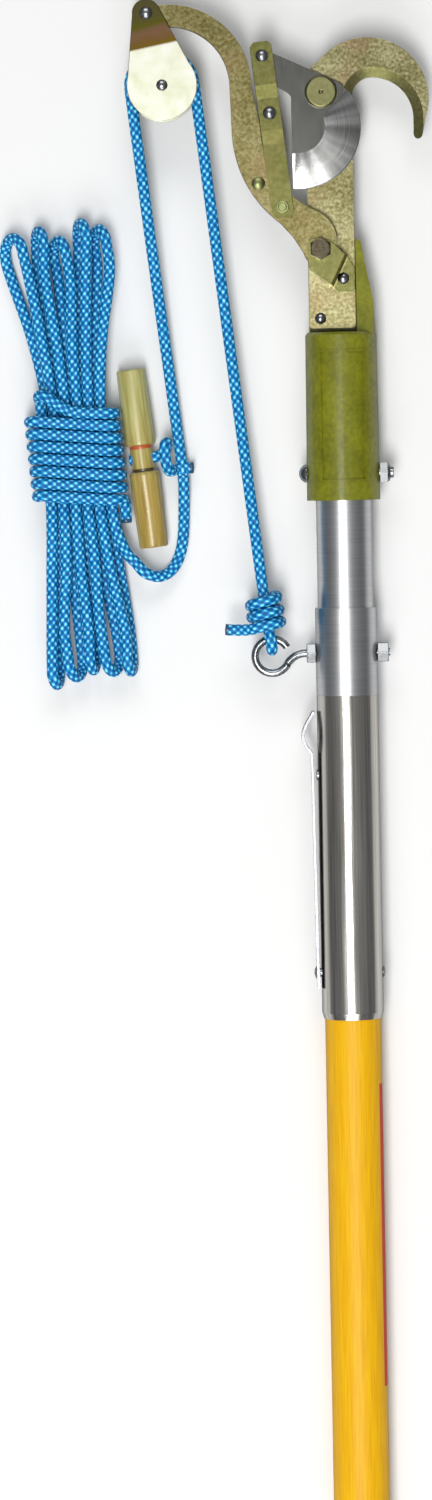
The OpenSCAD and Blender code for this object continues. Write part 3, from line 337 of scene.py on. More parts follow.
def layCords():
    eyeStart = sheaveAt + turnRadius * ropeSide
    handleStart = sheaveAt - turnRadius * ropeSide
    eyeEnd = eyeStart + reeve["eyeRun"] * ropeDown
    made = {}

    # over the sheave
    arc = [sheaveAt + turnRadius * (math.cos(a) * np.array([1, 0, 0]) + math.sin(a) * np.array([0, 1, 0]))
           for a in (lean + math.radians(t) for t in range(0, 181, 10))]
    made["ropeOverSheave"], path = ropePiece("ropeOverSheave", arc)
    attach(made["ropeOverSheave"], "pulley_block")
    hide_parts("rope_over_sheave")

    # down to the eye bolt on the pole: mm along the run, and how far it hangs there
    sag = [(0.1, 0), (8, 0), (50, -2.5), (95, -6), (145, -8.5), (195, -9), (240, -7), (282, -3.8),
           (reeve["eyeRun"], -3.8)]
    run = [eyeStart + s * ropeDown + np.array([0, 0, dz]) for s, dz in sag]
    made["ropeEyeRun"], path = ropePiece("ropeEyeRun", run)
    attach(made["ropeEyeRun"], "pole")
    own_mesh(made["ropeEyeRun"])
    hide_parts("rope_eye_run")

    # the knot on the eye bolt: through the eye, back, then three times round the standing part
    knot = [(0.02, -0.15, 3.6), (0.6, -5, 3.6), (1.4, -12, 3.6), (2.2, -19, 3.8), (3.2, -25, 5.9),
            (4.2, -29.5, 5.8), (4.5, -33, 4), (4.6, -34.4, 0), (4.5, -33, -4), (4.2, -29.5, -5.8),
            (3.2, -25, -5.9), (2.2, -19, -3.8), (1.4, -13, -3.6), (1, -8.5, -3.6), (2.6, -6, -4.6),
            (6.9, -3.9, -2.4), (7.6, -4.6, 4.2), (3.4, -5.8, 10.4), (-3.4, -7.4, 10.2),
            (-6.8, -8.6, 3.6), (-6.4, -9.5, -3.8), (-2.2, -10.3, -10.3), (4.4, -10.9, -10.4),
            (8.4, -11.4, -3.6), (8.5, -11.9, 3.9), (4.4, -12.6, 10.5), (-2.2, -14, 10.6),
            (-6.2, -15.2, 3.6), (-5.9, -16.1, -3.8), (-1.6, -16.9, -10.3), (5, -17.6, -10.4),
            (9.2, -18.1, -3.6), (9.3, -18.6, 3.9), (5.2, -19.4, 10.6), (-1.4, -20.8, 10.9),
            (-7, -22.2, 7.6), (-13, -22.6, 5.6), (-21.5, -22.2, 5)]
    knot = [(eyeEnd[0] + p[0], eyeEnd[1] + p[1], p[2]) for p in knot]
    made["ropeEyeKnot"], path = ropePiece("ropeEyeKnot", knot, 2)
    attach(made["ropeEyeKnot"], "pole")
    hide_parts("rope_eye_knot")

    # down to the handle
    run = [handleStart + 0.1 * ropeDown, handleStart + 8 * ropeDown, (-112, 193, 4), (-107.3, 153, -2),
           (-102.4, 112, -8), (-97.4, 71, -12), (-93.4, 37.4, -14), (-91.7, 23.4, -14), (-90.9, 15.4, -14)]
    made["ropeHandleRun"], path = ropePiece("ropeHandleRun", run)
    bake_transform(made["ropeHandleRun"])
    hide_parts("rope_handle_run")

    # past the handle, round the bottom of the hank and into it
    tail = [(-90.9, 15.4, -14), (-90.6, 8, -14.4), (-90.8, -6, -17), (-91.6, -20, -17.4), (-94, -31, -17.2),
            (-99, -39, -15.6), (-106, -41.8, -11.6)]
    made["ropeHank"], path = ropePiece("ropeHank", tail + hankRoute(), 2)
    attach(made["ropeHank"], "pull_rope")
    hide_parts("rope_tail", "rope_hank")

    # the short piece through the handle, hitched to the rope; points from the middle of the bore
    hitch = [(-7.4, 0, 0), (0, 0, 0), (8.2, 0, 0), (11.6, 1.2, 0.3), (14.4, 4.2, 1.8), (15.2, 7, 5.2),
             (13.8, 5.8, 9), (13.2, 0.2, 9.9), (13.4, -5.6, 8.2), (14.6, -9, 4), (17.3, -8.8, -0.4),
             (21.8, -8.5, -2.2), (28.2, -9, -2.2)]
    hitch = [turned((p[0], p[1], p[2] + toggle["height"]), toggle) for p in hitch]
    made["ropeHandleHitch"], path = ropePiece("ropeHandleHitch", hitch, 2)
    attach(made["ropeHandleHitch"], "pull_rope")
    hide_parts("rope_handle_hitch")
    return made


cords = layCords()
print("cords laid,", len(cords), "pieces")

# Return spring between the link's middle rivet and the lever's pin
spring = {
    "from": (-38.2, 219.32, -3.4),
    "to": (-45.3, 179.7, -3.4),
    "wire": 1.1,
    "ring": 0.55,  # mm between two rings of the mesh
    "sides": 8,
    "coil": 2.95,  # radius to the middle of the wire
    "turns": 13,
    "steps": 16,  # points in a turn
    "start": 7.7,  # from the middle of a hook to the first turn
    "length": 24.85,  # of the turns together
    "hook": 3.3,  # radius of the hook at each end
    "neck": (1.4, 1.2, 0.6),  # between hook and turns: mm before the turns, aside, above
}


def hookPoint(middle, degrees):
    t = math.radians(degrees)
    return (middle + spring["hook"] * math.cos(t), spring["hook"] * math.sin(t), 0)


def windSpring():
    a, b = np.array(spring["from"]), np.array(spring["to"])
    span = np.linalg.norm(b - a)
    along = (b - a) / span
    across = np.array([-along[1], along[0], 0])
    before, aside, above = spring["neck"]
    steps = spring["turns"] * spring["steps"]
    flat = [hookPoint(0, t) for t in range(300, 29, -15)]
    flat.append((spring["start"] - before, aside, above))
    for k in range(steps + 1):
        t = 2 * math.pi * k / spring["steps"]
        flat.append((spring["start"] + spring["length"] * k / steps,
                     spring["coil"] * math.sin(t), spring["coil"] * math.cos(t)))
    flat.append((span - spring["start"] + before, aside, above))
    flat += [hookPoint(span, t) for t in range(150, -121, -15)]
    line = [a + along * p[0] + across * p[1] + np.array([0, 0, p[2]]) for p in flat]
    piece = tube("returnSpring", flowing(line, spring["ring"]), spring["wire"] / 2, spring["sides"], 2.0)
    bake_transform(piece)
    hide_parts("return_spring")
    return piece


springPiece = windSpring()
print("spring wound")


# Materials
def rgb(code):
    parts = [int(code[i:i + 2], 16) / 255 for i in (1, 3, 5)]
    return tuple(p / 12.92 if p <= 0.04045 else ((p + 0.055) / 1.055) ** 2.4 for p in parts) + (1.0,)


def addNode(tree, kind, sockets=None, stops=None, family="ShaderNode", **settings):
    node = tree.nodes.new(family + kind)
    for key, value in settings.items():
        setattr(node, key, value)
    for key, value in (sockets or {}).items():
        if isinstance(value, bpy.types.NodeSocket):
            tree.links.new(value, node.inputs[key])
        else:
            node.inputs[key].default_value = value
    if stops:
        elements = node.color_ramp.elements
        elements[0].position, elements[0].color = stops[0][0], rgb(stops[0][1])
        elements[1].position, elements[1].color = stops[-1][0], rgb(stops[-1][1])
        for place, code in stops[1:-1]:
            elements.new(place).color = rgb(code)
    return node


def newMaterial(name, sockets):
    made = bpy.data.materials.new(name)
    made.use_nodes = True
    shader = made.node_tree.nodes["Principled BSDF"]
    for key, value in sockets.items():
        shader.inputs[key].default_value = value
    return made, made.node_tree, shader


def speckle(tree, size, stretch=(1, 1, 1), detail=3.0, seed=0.0):
    # soft noise whose grains are about size mm across, drawn out along an axis by a share under 1
    place = addNode(tree, "TexCoord").outputs["Object"]
    drawn = addNode(tree, "Mapping", {"Vector": place, "Location": (seed, seed, seed), "Scale": stretch})
    noise = addNode(tree, "TexNoise", {"Vector": drawn.outputs["Vector"], "Scale": 1000 / size,
                                       "Detail": detail})
    return noise.outputs["Fac"]


def ownPlace(tree, at, angle=0.0):
    # coordinates counted from a point given in mm, and turned by an angle in radians
    start = (at[0] / 1000, (at[1] + headY) / 1000, 0)
    local = addNode(tree, "Mapping", {"Vector": addNode(tree, "TexCoord").outputs["Object"],
                                      "Location": start, "Rotation": (0, 0, angle)}, vector_type="TEXTURE")
    return local.outputs["Vector"]


def axis(tree, vector, letter):
    return addNode(tree, "SeparateXYZ", {"Vector": vector}).outputs[letter]


def band(tree, value, low, high):
    # 1 between two distances in mm, else 0
    return addNode(tree, "Math", {0: value, 1: (low + high) / 2000, 2: (high - low) / 2000},
                   operation="COMPARE").outputs[0]


def bump(tree, shader, height, depth, strength=1.0):
    # depth is in mm
    made = addNode(tree, "Bump", {"Height": height, "Distance": depth / 1000, "Strength": strength})
    tree.links.new(made.outputs["Normal"], shader.inputs["Normal"])


noiseRange = {"From Min": 0.3, "From Max": 0.7}  # soft noise seldom leaves it


def spread(tree, shader, socket, factor, low, high):
    made = addNode(tree, "MapRange", {"Value": factor, **noiseRange, "To Min": low, "To Max": high})
    tree.links.new(made.outputs["Result"], shader.inputs[socket])


def tinted(tree, shader, factor, stops):
    made = addNode(tree, "ValToRGB", {"Fac": factor}, stops)
    tree.links.new(made.outputs["Color"], shader.inputs["Base Color"])
    return made.outputs["Color"]


def blendColour(tree, shader, factor, a, b):
    made = addNode(tree, "Mix", {0: factor, 6: a, 7: b}, data_type="RGBA")
    tree.links.new(made.outputs[2], shader.inputs["Base Color"])
    return made.outputs[2]


def chromate(name, tones, tint, grain, depth, rough, vary):
    # yellow chromate over zinc: a gold-olive metal, grainy close up, cloudy from afar, with a faint pink
    # bloom; the tones run from dark to light, grain and depth are in mm
    made, tree, shader = newMaterial(name, {"Metallic": 1.0, "Roughness": rough})
    fine = speckle(tree, grain, detail=4, seed=1.7)
    cloud = speckle(tree, 22, detail=3)
    both = addNode(tree, "Mix", {0: 0.35, 2: fine, 3: cloud}, data_type="FLOAT")
    body = tinted(tree, shader, both.outputs[0], list(zip((0.36, 0.5, 0.64), tones)))
    bloom = addNode(tree, "MapRange", {"Value": speckle(tree, 26, seed=3.1), "From Min": 0.52,
                                       "From Max": 0.74, "To Max": 0.5})
    blendColour(tree, shader, bloom.outputs["Result"], body, rgb(tint))
    spread(tree, shader, "Roughness", fine, rough - vary, rough + vary)
    bump(tree, shader, fine, depth)
    return made


def blockPlate():
    # the same plating on thin sheet: brown above the bend, nearly white below it
    bend = {
        "top": (-107.0, 277.0),  # the plate's upper rivet, and its axle: mm across and up from the socket
        "axle": (-98.7, 235.9),
        "at": 19.5,  # mm from the upper rivet towards the axle
        "fade": 0.6,  # mm on each side of it
        "over": 12.0,  # mm of plate above the upper rivet
        "uneven": 0.05,  # how far clouds push the brown bands about, share of their height
    }
    made, tree, shader = newMaterial("paleChromateSheetSteel", {"Metallic": 1.0, "Roughness": 0.44})
    angle = math.atan2(bend["axle"][1] - bend["top"][1], bend["axle"][0] - bend["top"][0])
    reach = axis(tree, ownPlace(tree, bend["top"], angle), "X")
    low = addNode(tree, "MapRange", {"Value": reach, "From Min": (bend["at"] - bend["fade"]) / 1000,
                                     "From Max": (bend["at"] + bend["fade"]) / 1000})
    cloud = speckle(tree, 9, detail=2)
    height = addNode(tree, "MapRange", {"Value": reach, "From Min": -bend["over"] / 1000,
                                        "From Max": bend["at"] / 1000})
    uneven = addNode(tree, "MapRange", {"Value": cloud, **noiseRange, "To Min": -bend["uneven"],
                                        "To Max": bend["uneven"]})
    level = addNode(tree, "Math", {0: height.outputs["Result"], 1: uneven.outputs["Result"]}, operation="ADD")
    upper = addNode(tree, "ValToRGB", {"Fac": level.outputs[0]},
                    [(0.1, "#413d26"), (0.45, "#464222"), (0.6, "#4a4716"), (0.72, "#5f4836"),
                     (0.86, "#5c4628"), (0.97, "#5c4915")])
    lower = addNode(tree, "ValToRGB", {"Fac": cloud}, [(0.3, "#b9baa2"), (0.5, "#c3c4b2"), (0.7, "#c9c8bf")])
    blendColour(tree, shader, low.outputs["Result"], upper.outputs["Color"], lower.outputs["Color"])
    bump(tree, shader, speckle(tree, 0.9, (1, 0.1, 1)), 0.008)
    return made


def bracketPlate():
    # the strip's plating, with painted shade along the foot of the fold and a painted highlight line beside
    # it
    crease = {
        "at": (-2.3, 131.0),  # a point of the fold
        "along": (8.2, 17.2),  # its direction
        "paintedShade": (1.2, 3.0),  # mm to its right, from and to
        "paintedHighlight": (3.0, 4.0),
    }
    made = chromate("oliveChromateFoldedSteel", ("#706f42", "#7c7b4a", "#888755"), "#847648",
                    grain=2.5, depth=0.004, rough=0.25, vary=0.012)
    tree = made.node_tree
    shader = tree.nodes["Principled BSDF"]
    body = shader.inputs["Base Color"].links[0].from_socket
    angle = math.atan2(crease["along"][1], crease["along"][0]) - math.pi / 2
    across = axis(tree, ownPlace(tree, crease["at"], angle), "X")
    # painted shade at the foot of the fold, then a painted highlight line beside it
    shadedBody = blendColour(tree, shader, band(tree, across, *crease["paintedShade"]), body, rgb("#45431f"))
    blendColour(tree, shader, band(tree, across, *crease["paintedHighlight"]), shadedBody, rgb("#a19c66"))
    return made


def lined(name, dark, light, grain, stretch, depth, rough, vary):
    # bare metal with the lines of its last tool, running the way the stretch leaves it long
    made, tree, shader = newMaterial(name, {"Metallic": 1.0, "Roughness": rough})
    line = speckle(tree, grain, stretch, 2.0)
    tinted(tree, shader, line, [(0.3, dark), (0.7, light)])
    spread(tree, shader, "Roughness", line, rough - vary, rough + vary)
    bump(tree, shader, line, depth)
    return made


def polePaint():
    # pulled fibreglass with a yellow gelcoat: satin, with faint lengthwise fibres under the skin
    stripe = {"from": 0.916, "to": 1.087, "side": 0.0139}  # m up from the butt, and right of the axis
    sockets = {"Roughness": 0.5, "IOR": 1.5, "Specular IOR Level": 0.25}
    made, tree, shader = newMaterial("yellowGelcoatFibreglass", sockets)
    fibre = speckle(tree, 0.9, (1, 0.03, 1), 3.0)
    body = tinted(tree, shader, fibre, [(0.3, "#cd9502"), (0.5, "#d6a103"), (0.72, "#deac05")])
    place = addNode(tree, "SeparateXYZ", {"Vector": addNode(tree, "TexCoord").outputs["Object"]})
    onSide = addNode(tree, "Math", {0: place.outputs["X"], 1: stripe["side"]}, operation="GREATER_THAN")
    above = addNode(tree, "Math", {0: place.outputs["Y"], 1: stripe["from"]}, operation="GREATER_THAN")
    below = addNode(tree, "Math", {0: place.outputs["Y"], 1: stripe["to"]}, operation="LESS_THAN")
    both = addNode(tree, "Math", {0: above.outputs[0], 1: below.outputs[0]}, operation="MULTIPLY")
    mask = addNode(tree, "Math", {0: both.outputs[0], 1: onSide.outputs[0]}, operation="MULTIPLY")
    blendColour(tree, shader, mask.outputs[0], body, rgb("#c22c06"))
    bump(tree, shader, fibre, 0.02)
    return made


def castEnamel():
    # sand-cast aluminium under thick olive enamel: pebbled, wet-looking on the high spots
    sockets = {"Roughness": 0.5, "IOR": 1.5, "Specular IOR Level": 0.25, "Coat Weight": 0.5,
               "Coat Roughness": 0.17}
    made, tree, shader = newMaterial("oliveEnamelSandCast", sockets)
    pebble = speckle(tree, 2.6, detail=3)
    cloud = speckle(tree, 14, detail=2, seed=2.2)
    both = addNode(tree, "Mix", {0: 0.5, 2: pebble, 3: cloud}, data_type="FLOAT")
    tinted(tree, shader, both.outputs[0], [(0.34, "#5c5e06"), (0.5, "#6b6d09"), (0.66, "#7a7b11")])
    bump(tree, shader, pebble, 0.3, 0.8)
    return made


def ropeBraid():
    # solid-braided polypropylene: staggered stitches, each sheaf of fibres given a painted highlight, with
    # painted shade in the gaps round it
    sockets = {"Roughness": 0.55, "IOR": 1.49, "Specular IOR Level": 0.25}
    made, tree, shader = newMaterial("blueBraidedPolypropylene", sockets)
    place = addNode(tree, "SeparateXYZ", {"Vector": addNode(tree, "TexCoord").outputs["UV"]})
    around = addNode(tree, "Math", {0: place.outputs["X"], 1: rope["columns"] * math.pi},
                     operation="MULTIPLY")
    runs = addNode(tree, "Math", {0: place.outputs["Y"], 1: 2 * math.pi}, operation="MULTIPLY")
    across = addNode(tree, "Math", {0: around.outputs[0]}, operation="COSINE")
    along = addNode(tree, "Math", {0: runs.outputs[0]}, operation="COSINE")
    stitch = addNode(tree, "Math", {0: across.outputs[0], 1: along.outputs[0]}, operation="MULTIPLY")
    uneven = 0.16  # how far stitches differ
    loose = addNode(tree, "MapRange", {"Value": speckle(tree, 2.2, detail=2), **noiseRange,
                                       "To Min": -uneven, "To Max": uneven})
    lit = addNode(tree, "MapRange", {"Value": stitch.outputs[0], "From Min": -1.0, "From Max": 1.0})
    both = addNode(tree, "Math", {0: lit.outputs["Result"], 1: loose.outputs["Result"]}, operation="ADD")
    # painted shade in the gaps between stitches, painted highlights on the stitches, random unevenness on top
    tinted(tree, shader, both.outputs[0],
           [(0.15, "#054d8a"), (0.47, "#0a70b2"), (0.7, "#1a9ad0"), (0.92, "#8ae4f6")])
    bump(tree, shader, lit.outputs["Result"], 0.25, 0.8)
    return made


def ropeEnd():
    # cut with a hot knife: the fibres run together into a hard dark bead
    made, tree, shader = newMaterial("meltedPolypropylene", {"Roughness": 0.3, "IOR": 1.49})
    tinted(tree, shader, speckle(tree, 1.5), [(0.35, "#0a2b45"), (0.65, "#1c5478")])
    bump(tree, shader, speckle(tree, 1.2), 0.2)
    return made


def handleWood():
    # turned maple under clear varnish: pale, with long fine grain; at the neck, pooled varnish and painted
    # shade darken the grooves
    wood = {
        "grain": 1.8,  # mm
        "fade": (-20, 30),  # mm along the handle, from handled brown to pale
        "upperGrooveVarnishAndShade": (5.5, 7.7),
        "lowerGrooveVarnishAndShade": (-7.5, -5.7),
    }
    sockets = {"Roughness": 0.34, "IOR": 1.5, "Coat Weight": 0.4, "Coat Roughness": 0.16}
    made, tree, shader = newMaterial("varnishedTurnedMaple", sockets)
    place = ownPlace(tree, toggle["at"], math.radians(toggle["lean"]))
    drawn = addNode(tree, "Mapping", {"Vector": place, "Scale": (1, 0.05, 1)})
    figure = addNode(tree, "TexNoise", {"Vector": drawn.outputs["Vector"], "Scale": 1000 / wood["grain"],
                                        "Detail": 4.0}).outputs["Fac"]
    height = axis(tree, place, "Y")
    worn = addNode(tree, "MapRange", {"Value": height, "From Min": wood["fade"][0] / 1000,
                                      "From Max": wood["fade"][1] / 1000})
    pale = addNode(tree, "ValToRGB", {"Fac": figure}, [(0.3, "#8f8849"), (0.5, "#a5a062"), (0.7, "#b6b27a")])
    warm = addNode(tree, "ValToRGB", {"Fac": figure}, [(0.3, "#8b722f"), (0.5, "#a08840"), (0.7, "#b29c56")])
    body = blendColour(tree, shader, worn.outputs["Result"], warm.outputs["Color"], pale.outputs["Color"])
    # the grooves at the neck: pooled varnish with painted shade, reddish in the upper one, dark brown in the
    # lower
    ringed = blendColour(tree, shader, band(tree, height, *wood["upperGrooveVarnishAndShade"]), body, rgb("#b2582a"))
    blendColour(tree, shader, band(tree, height, *wood["lowerGrooveVarnishAndShade"]), ringed, rgb("#4a3c22"))
    bump(tree, shader, figure, 0.05)
    return made


def grindSteel():
    # ground bevel: bright, with the wheel's fine rings about the edge's own centre, drawn twice as coarse as
    # life, and broad rays of painted reflection fanning from that centre
    wheel = {
        "centre": (-22.3, 212),
        "ring": 0.7,  # mm
        "reflectionRays": 3.2,  # to a radian
        "share": 0.2,  # of the rings in the colour, the rest is the painted reflection rays'
    }
    sockets = {"Metallic": 1.0, "Roughness": 0.26, "Anisotropic": 0.4}
    made, tree, shader = newMaterial("groundBladeSteel", sockets)
    place = ownPlace(tree, wheel["centre"])
    far = addNode(tree, "VectorMath", {0: place}, operation="LENGTH")
    ring = addNode(tree, "TexNoise", {"W": far.outputs["Value"], "Scale": 1000 / wheel["ring"],
                                      "Detail": 2.0}, noise_dimensions="1D").outputs["Fac"]
    across = addNode(tree, "SeparateXYZ", {"Vector": place})
    bearing = addNode(tree, "Math", {0: across.outputs["Y"], 1: across.outputs["X"]}, operation="ARCTAN2")
    # painted reflection: bright and dark rays by bearing round the wheel's centre
    reflectionRay = addNode(tree, "TexNoise", {"W": bearing.outputs[0], "Scale": wheel["reflectionRays"], "Detail": 1.5},
                  noise_dimensions="1D").outputs["Fac"]
    both = addNode(tree, "Mix", {0: wheel["share"], 2: reflectionRay, 3: ring}, data_type="FLOAT")
    tinted(tree, shader, both.outputs[0], [(0.3, "#7f7f7c"), (0.5, "#a5a5a2"), (0.7, "#d8d8d6")])
    spread(tree, shader, "Roughness", ring, 0.17, 0.23)
    bump(tree, shader, ring, 0.0006)
    # the light runs across the rings, in rays from their centre
    along = addNode(tree, "VectorMath", {0: (0, 0, 1), 1: place}, operation="CROSS_PRODUCT")
    tree.links.new(along.outputs["Vector"], shader.inputs["Tangent"])
    return made


def plain(name, dark, light, grain, depth, rough, metallic=0.0):
    # moulded or coated stuff: nearly one tone, with a fine skin
    made, tree, shader = newMaterial(name, {"Roughness": rough, "IOR": 1.5, "Metallic": metallic})
    fine = speckle(tree, grain)
    tinted(tree, shader, fine, [(0.3, dark), (0.7, light)])
    spread(tree, shader, "Roughness", fine, rough - 0.06, rough + 0.08)
    bump(tree, shader, fine, depth)
    return made


looks = {
    "pole": polePaint(),
    "cast": castEnamel(),
    "rope": ropeBraid(),
    "ropeEnd": ropeEnd(),
    "wood": handleWood(),
    "grind": grindSteel(),
    # forged and stamped steel keeps a grainy face under its plating, so it scatters the light; its grain is
    # drawn three times as coarse as life, to show at all
    "hook": chromate("yellowChromateForgedSteel", ("#68623d", "#87815a", "#a6a17b"), "#94765c",
                     grain=1.7, depth=0.05, rough=0.31, vary=0.03),
    "lever": chromate("yellowChromateStampedSteel", ("#625a35", "#797148", "#8e8762"), "#876e50",
                      grain=1.7, depth=0.05, rough=0.31, vary=0.03),
    # flat strip takes a thicker, smoother coat that looks wet and greener
    "link": chromate("oliveChromateStripSteel", ("#646338", "#6f6e40", "#7a794b"), "#76693e",
                     grain=2.5, depth=0.004, rough=0.3, vary=0.012),
    # the throat's sloped faces get a paler tone: painted reflection of the light they catch
    "throat": chromate("paintedReflectionChromateThroatSteel", ("#8d8a55", "#9c9963", "#aaa772"), "#9c8a66",
                       grain=1.7, depth=0.02, rough=0.4, vary=0.03),
    # the round head is satin and a shade paler than the strip
    "pin": chromate("oliveChromatePinSteel", ("#6b6b45", "#767650", "#81815a"), "#786d4a",
                    grain=2.5, depth=0.004, rough=0.34, vary=0.012),
    # small rivets were plated by the barrel: a shade paler again
    "rivet": chromate("paleChromateRivetSteel", ("#75794e", "#828659", "#8f9364"), "#827f5c",
                      grain=2.5, depth=0.004, rough=0.4, vary=0.012),
    # bolts come in a duller, browner batch of the same plating
    "bolt": chromate("brownChromateBoltSteel", ("#413b2c", "#4d4738", "#5a5346"), "#52443a",
                     grain=1.7, depth=0.02, rough=0.33, vary=0.02),
    "block": blockPlate(),
    "bracket": bracketPlate(),
    # turned and drawn tube keeps fine rings round it
    "tube": lined("drawnAluminium", "#c3c4c6", "#d2d3d4",
                  grain=0.7, stretch=(0.03, 1, 0.03), depth=0.0008, rough=0.33, vary=0.012),
    # buffed along its length after swaging, with long soft streaks
    "ferrule": lined("buffedAluminium", "#bdb8b0", "#d8d4ce",
                     grain=1.4, stretch=(1, 0.02, 1), depth=0.006, rough=0.2, vary=0.04),
    # bright zinc is a little milky and blotched
    "zinc": plain("brightZincSteel", "#7d7f81", "#979a9c", grain=2.4, depth=0.003, rough=0.26, metallic=1.0),
    # cold-rolled strip is greyer and has no plating
    "strip": lined("coldRolledSpringStrip", "#68696c", "#7f8083",
                   grain=0.8, stretch=(1, 0.05, 1), depth=0.002, rough=0.27, vary=0.02),
    "blade": lined("hardenedBladeSteel", "#70706a", "#7b7b76",
                   grain=0.7, stretch=(1, 0.06, 1), depth=0.0012, rough=0.22, vary=0.012),
    "spring": plain("brownedSpringSteel", "#4c3220", "#80592f",
                    grain=1.2, depth=0.04, rough=0.42, metallic=1.0),
    "nylon": plain("blackMouldedNylon", "#0d0d0e", "#1b1b1c", grain=1.4, depth=0.03, rough=0.36),
    "plug": plain("blackRubberPlug", "#111112", "#1e1e1f", grain=0.9, depth=0.05, rough=0.55),
    "foam": plain("polyurethaneFoam", "#d7c38c", "#e6d7a8", grain=1.2, depth=0.1, rough=0.8),
}
print("materials made,", len(looks))

# Each CAD node's finish: its material and the width of its broken edges, mm
finish = {
    "pole_tube": ("pole", 0), "pole_core": ("foam", 0), "butt_plug": ("plug", 0.6),
    "ferrule": ("ferrule", 0.4), "ferrule_rivet": ("zinc", 0.15), "latch_strip": ("strip", 0.25),
    "latch_button": ("zinc", 0.3), "adapter_tube": ("tube", 0), "collar": ("tube", 0.4),
    "eye_bolt": ("zinc", 0), "eye_bolt_nuts": ("zinc", 0.5), "socket_casting": ("cast", 0.4),
    "cross_bolt": ("zinc", 0.4), "cross_bolt_nut": ("zinc", 0.5), "hook_plate": ("hook", 0.9),
    "blade": ("blade", 0.12), "blade_pivot_bolt": ("pin", 0.3), "blade_pivot_washer": ("zinc", 0.25),
    "blade_pivot_nut": ("zinc", 0.4), "lever_arm": ("lever", 0.8), "lever_pivot_bolt": ("bolt", 0.3),
    "lever_pivot_nut": ("zinc", 0.4), "pivot_bracket": ("bracket", 0.5), "bracket_rivet": ("zinc", 0.3),
    "shank_rivet": ("zinc", 0.3), "link_front": ("link", 0.4), "link_back": ("link", 0.4),
    "link_blade_rivet": ("zinc", 0.2), "link_middle_rivet": ("zinc", 0.2), "link_spacer": ("zinc", 0.3),
    "link_lever_rivet": ("rivet", 0.15), "spring_pin": ("rivet", 0.2), "block_plate_front": ("block", 0.3),
    "block_plate_back": ("block", 0.3), "block_rivet": ("zinc", 0.2), "sheave_axle": ("zinc", 0.2),
    "sheave": ("nylon", 0.3), "toggle_handle": ("wood", 0.5),
}


def crispTurns(limit):
    # faces that meet at less than the limit flow into each other, as on round stock; a fold stays crisp
    group = bpy.data.node_groups.new("crispTurns", "GeometryNodeTree")
    for way in ("INPUT", "OUTPUT"):
        group.interface.new_socket("Mesh", in_out=way, socket_type="NodeSocketGeometry")
    mesh = addNode(group, "NodeGroupInput", family="").outputs["Mesh"]
    turn = addNode(group, "InputMeshEdgeAngle", family="GeometryNode").outputs["Unsigned Angle"]
    hard = addNode(group, "Math", {0: turn, 1: math.radians(limit)}, operation="GREATER_THAN").outputs[0]
    done = addNode(group, "SetMeshNormal", {"Mesh": mesh, "Remove Custom": True, "Edge Sharpness": hard},
                   family="GeometryNode").outputs["Mesh"]
    addNode(group, "NodeGroupOutput", {"Mesh": done}, family="")
    return group


edgeWork = {
    "join": 0.002,  # mm, corners nearer than this are one
    "flat": 0.4,  # degrees, faces that meet at less are one
    "corner": 35,  # degrees, edges that turn more are broken
    "smooth": 13,  # degrees, edges that turn less don't show
    "smoothWire": 50,  # the same for bent wire, whose sides meet at wider angles
}
turns = crispTurns(edgeWork["smooth"])
wireTurns = crispTurns(edgeWork["smoothWire"])


def dressNode(node, look, edge):
    # joins the mesh's split edges, clears its flat faces, rounds the corners and sets what stays crisp
    piece = nodes[node]
    piece.data.materials.clear()
    piece.data.materials.append(looks[look])
    piece.modifiers.new("join", "WELD").merge_threshold = edgeWork["join"] / 1000
    if edge:
        clear = piece.modifiers.new("clear", "DECIMATE")
        clear.decimate_type = "DISSOLVE"
        clear.angle_limit = math.radians(edgeWork["flat"])
        clear.delimit = {"MATERIAL"}
        rounded = piece.modifiers.new("edge", "BEVEL")
        rounded.width = edge / 1000
        rounded.segments = 2
        rounded.limit_method = "ANGLE"
        rounded.angle_limit = math.radians(edgeWork["corner"])
        rounded.use_clamp_overlap = True
    piece.modifiers.new("turns", "NODES").node_group = wireTurns if node == "eye_bolt" else turns
    piece.modifiers.new("even", "WEIGHTED_NORMAL").keep_sharp = True


for node, (look, edge) in finish.items():
    dressNode(node, look, edge)

# Sloped faces have a material of their own: the blade's are ground, the hook's front ones are its throat,
# paler with painted reflection
sloped = {
    "blade": {"look": "grind", "between": (0.3, 0.9975), "back": True},  # upward share of the face's normal
    "hook_plate": {"look": "throat", "between": (0.2, 0.95), "back": False},
}
for node, slope in sloped.items():
    mesh = nodes[node].data
    mesh.materials.append(looks[slope["look"]])
    low, high = slope["between"]
    for face in mesh.polygons:
        rise = abs(face.normal.z) if slope["back"] else face.normal.z
        if low < rise < high:
            face.material_index = 1

for piece in cords.values():
    piece.data.materials.append(looks["rope"])
    piece.data.materials.append(looks["ropeEnd"])
springPiece.data.materials.append(looks["spring"])
print("finishes given")

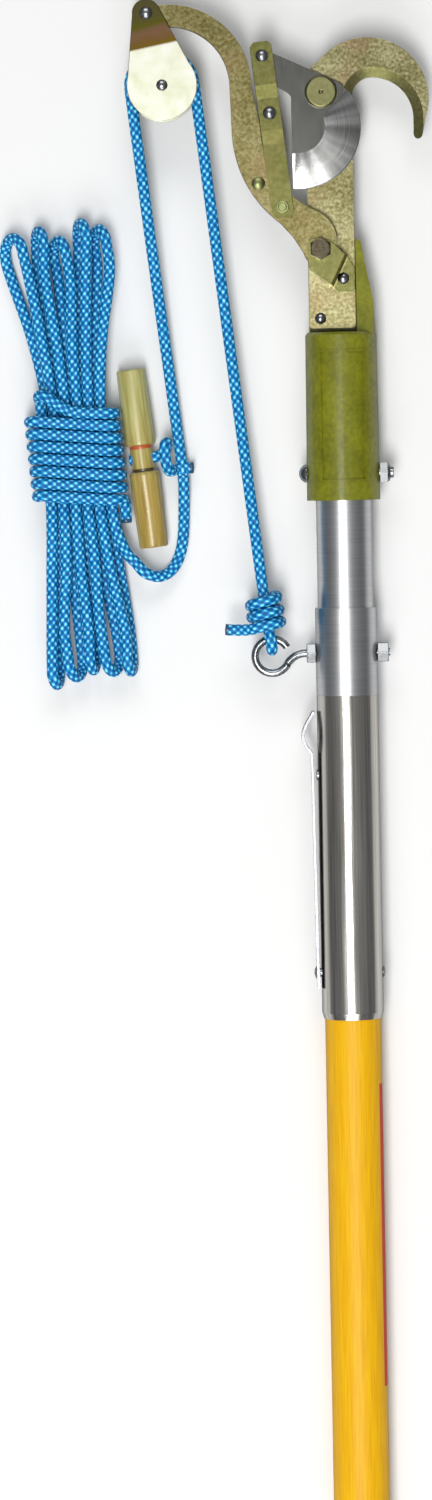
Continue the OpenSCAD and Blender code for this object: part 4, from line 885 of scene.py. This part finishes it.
# Floor and light: a long strip over the pole, and a soft panel beyond each end, where no tube mirrors it
studio = {
    "floor": "#dededd",
    "reach": 25,  # m from the middle to the floor's edges, so that no angle shows them
    "gap": 0.0002,  # m from the floor to the lowest piece
    # from straight below, which metal mirrors in place of the floor, past the horizon to overhead
    "sky": [(0.0, "#6a6b6c"), (0.07, "#b4b5b6"), (0.2, "#ececec"), (0.42, "#d4d5d6"), (0.5, "#626365"),
            (0.7, "#6d6e70"), (1.0, "#8a8b8c")],
    "strip": {"at": (-0.42, 0.45, 3.1), "aim": (-0.42, 0.45, 0), "size": (0.8, 1.8), "power": 88},
    "foot": {"at": (-0.2, -1.5, 2.3), "aim": (-0.1, 1.2, 0), "size": (2.4, 1.4), "power": 45},
    "head": {"at": (-0.2, 4.1, 2.3), "aim": (-0.1, 1.4, 0), "size": (2.4, 1.4), "power": 45},
}


def setStage():
    mesh = bpy.data.meshes.new("studioFloor")
    z = cadBox[0].z - studio["gap"]
    far = studio["reach"]
    mesh.from_pydata([(-far, -far, z), (far, -far, z), (far, far, z), (-far, far, z)], [], [(0, 1, 2, 3)])
    floor = bpy.data.objects.new("studioFloor", mesh)
    scene.collection.objects.link(floor)
    matte = newMaterial("matteStudioFloor", {"Roughness": 0.9, "Base Color": rgb(studio["floor"])})
    mesh.materials.append(matte[0])
    floor.visible_glossy = False  # metal mirrors the sky's lower half instead
    for name in ("strip", "foot", "head"):
        values = studio[name]
        light = bpy.data.lights.new(name, "AREA")
        light.shape = "RECTANGLE"
        light.size, light.size_y = values["size"]
        light.energy = values["power"]
        lamp = bpy.data.objects.new(name, light)
        lamp.location = values["at"]
        aim = Vector(values["aim"]) - lamp.location
        lamp.rotation_euler = aim.to_track_quat("-Z", "Y").to_euler()
        scene.collection.objects.link(lamp)
    sky = bpy.data.worlds.new("studioSky")
    sky.use_nodes = True
    tree = sky.node_tree
    rise = axis(tree, addNode(tree, "TexCoord").outputs["Generated"], "Z")
    level = addNode(tree, "MapRange", {"Value": rise, "From Min": -1.0, "From Max": 1.0})
    tone = addNode(tree, "ValToRGB", {"Fac": level.outputs["Result"]}, studio["sky"])
    tree.links.new(tone.outputs["Color"], tree.nodes["Background"].inputs["Color"])
    scene.world = sky
    scene.view_settings.view_transform = "Standard"


setStage()
print("stage set")

print("CAD box", [round(v, 4) for v in (*cadBox[0], *cadBox[1])])
